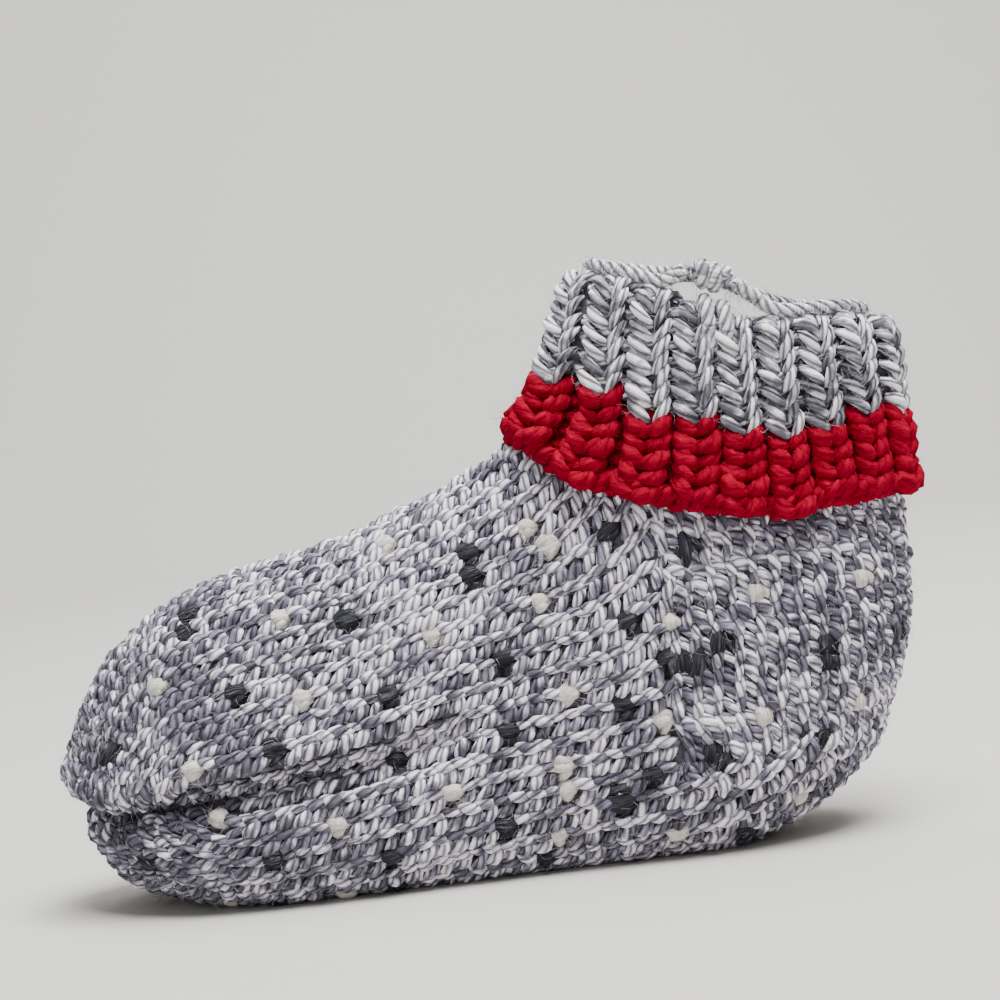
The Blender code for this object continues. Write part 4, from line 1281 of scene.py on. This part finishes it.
# The ground's dark colour is painted shade in the gaps between the stitches
SHADED_GROUND = fleecy("marl_ground_painted_shade", (0.17, 0.16, 0.20, 1), (0.045, 0.041, 0.058, 1), sheen=0.1)
LINING = fleecy("fleece_lining", (0.74, 0.70, 0.64, 1), (0.30, 0.285, 0.29, 1), 420.0)
# The red ground's deep, dark red is painted shade in the holes between the red stitches
SHADED_RED_GROUND = fleecy("red_ground_painted_shade", (0.16, 0.0006, 0.004, 1), (0.07, 0.0003, 0.002, 1), sheen=0.0)
DARK_WOOL = combed_wool("dark_fleece", (0.125, 0.125, 0.145, 1), (0.032, 0.032, 0.040, 1), (0.008, 0.008, 0.011, 1))
CREAM_WOOL = combed_wool("cream_fleece", (0.76, 0.73, 0.68, 1), (0.64, 0.61, 0.56, 1), (0.45, 0.42, 0.38, 1), 0.0004)
TIP_WOOL = combed_wool("tip_fleece", (0.60, 0.56, 0.51, 1), (0.42, 0.385, 0.345, 1), (0.22, 0.20, 0.18, 1))
FUZZ = fleecy("marl_fuzz", (0.80, 0.79, 0.83, 1), (0.40, 0.39, 0.44, 1))
RED_FUZZ = fleecy("red_fuzz", (0.50, 0.006, 0.022, 1), (0.28, 0.002, 0.010, 1), sheen=0.0)

for node, route, end in (("tie_strap_back", STRAP_BACK, "object"), ("tie_strap_front", STRAP_FRONT, "object"),
                         ("tie_loop_front", LOOP_FRONT, "object"), ("tie_loop_back", LOOP_BACK, "object"),
                         ("tie_end_back", END_BACK, "bare")):
    tie_stretch(node, route)
tie_stretch("tie_end_front", END_FRONT, taper=True)
tie_knot()
tie_tip(TIP_WOOL)

foot_ground(SHADED_GROUND)
fleece_lining(LINING)
cuff_ground("rib_cuff_ground", SHADED_GROUND, ["rib_cuff"], None, COLOUR_CHANGE_ROWS, True)
cuff_ground("red_border_ground", SHADED_RED_GROUND, ["red_border"], COLOUR_CHANGE_ROWS, LOWER_EDGE_ROWS, False)

# The foot stops at the flap's edge, and just below that edge the heel turn stands a little proud and pale
foot = foot_columns()
x, height = foot.point[:, 0], foot.point[:, 2]
in_flap = (x < GUSSET_X + OVER_GUSSET) & (height > flap_edge(foot) + OVER_EDGE)
foot = foot.keep(~(in_flap | (height > FOOT_TOP)))
band = (foot.point[:, 0] < GUSSET_X) & (flap_edge(foot) - foot.point[:, 2] < BAND_HEIGHT)
foot.point = foot.point + foot.out * (BAND_RISE * band)[:, None]
foot.tone = foot.tone + BAND_PALES * band
flap = flap_columns()
fabric = together([foot, flap])
on_flap = np.arange(len(fabric)) >= len(foot)
# Painted light on the instep, painted shade low down and on the flap, and darker marl at the toe
fabric.tone = fabric.tone + painted_light_and_toe_tone(fabric.point, on_flap)

plain = np.ones(len(fabric), bool)
for name, finish, places, course, size, body in (
        ("dark_thrums", DARK_WOOL, DARK_THRUMS, 5, DARK_SIZE, TUFT_BODY),
        ("cream_thrums", CREAM_WOOL, CREAM_THRUMS, 2, CREAM_SIZE, SOFT_TUFT_BODY)):
    numbers, sizes = thrum_stitches(fabric, places, course)
    plain[numbers] = False
    tufts = tufted(fabric, numbers, sizes, size)
    tailed = RNG.random(len(tufts)) < THRUM_TAILED
    add_knit(name, tufts, body, finish, "marl_yarn", jitter=FOOT_JITTER, relief=0)
    add_knit(name + "_tails", tufts.keep(tailed), TUFT_TAIL, finish, "marl_yarn", jitter=FOOT_JITTER)
    add_hairs(name + "_hairs", tufts, 16, 0.0048, 0.00011, 0.16, finish)

left, under = fabric.point[:, 1] > 0, fabric.out[:, 2] < SOLE_FACING
for name, mask, legs in (("foot_stitches_left", ~on_flap & left & ~under, (FLAT_LEG, STEEP_LEG)),
                         ("foot_stitches_right", ~on_flap & ~left & ~under, (FLAT_LEG, STEEP_LEG)),
                         ("foot_stitches_sole", ~on_flap & under, PLAIN_LEGS),
                         ("heel_flap_stitches", on_flap, (FLAT_LEG, STEEP_LEG))):
    add_knit(name, fabric.keep(mask & plain), legs, MARL, "marl_yarn", jitter=FOOT_JITTER)

between_crowns = 2 * np.arange(RIB_COUNT) / RIB_COUNT
ribs, red = rib_columns((2 * np.arange(RIB_COUNT) + 1) / RIB_COUNT, 0.0)
valleys, red_valley = rib_columns(between_crowns, RIB_VALLEY)
add_knit("rib_cuff_stitches", ribs.keep(~red), (RIB_STEEP, RIB_FLAT, RIB_BAR), RIB_MARL, "rib_yarn")
add_knit("rib_cuff_stitches_valleys", valleys.keep(~red_valley), (PURL_BUMP,), RIB_MARL, "rib_yarn")
add_knit("red_border_stitches", ribs.keep(red), (RED_STEEP, RED_FLAT), RED, "red_yarn", RED_YARN,
         relief=MATTED_RELIEF, matted=MATTED)
add_knit("red_border_stitches_valleys", valleys.keep(red_valley), (PURL_BUMP,), RED, "red_yarn", RED_YARN)
add_knit("cast_on_edge", cast_on(), (ROPE,), RED, "red_yarn", RED_YARN, relief=ROPE_RELIEF, matted=MATTED)

tie_fuzz((STRAP_BACK, STRAP_FRONT, LOOP_FRONT, LOOP_BACK, END_FRONT, END_BACK), FUZZ)
for name, stitches, each, length, thickness, finish, slot in (
        ("foot_fuzz", foot, 3, 0.0034, 0.00007, FUZZ, "marl_yarn"),
        ("flap_fuzz", flap, 3, 0.0034, 0.00007, FUZZ, "marl_yarn"),
        ("cuff_fuzz", ribs.keep(~red), 8, 0.0036, 0.00006, FUZZ, "rib_yarn"),
        ("border_fuzz", ribs.keep(red), 18, 0.0030, 0.00008, RED_FUZZ, "red_yarn")):
    add_hairs(name, stitches, each, length, thickness, FUZZ_RISE, finish)
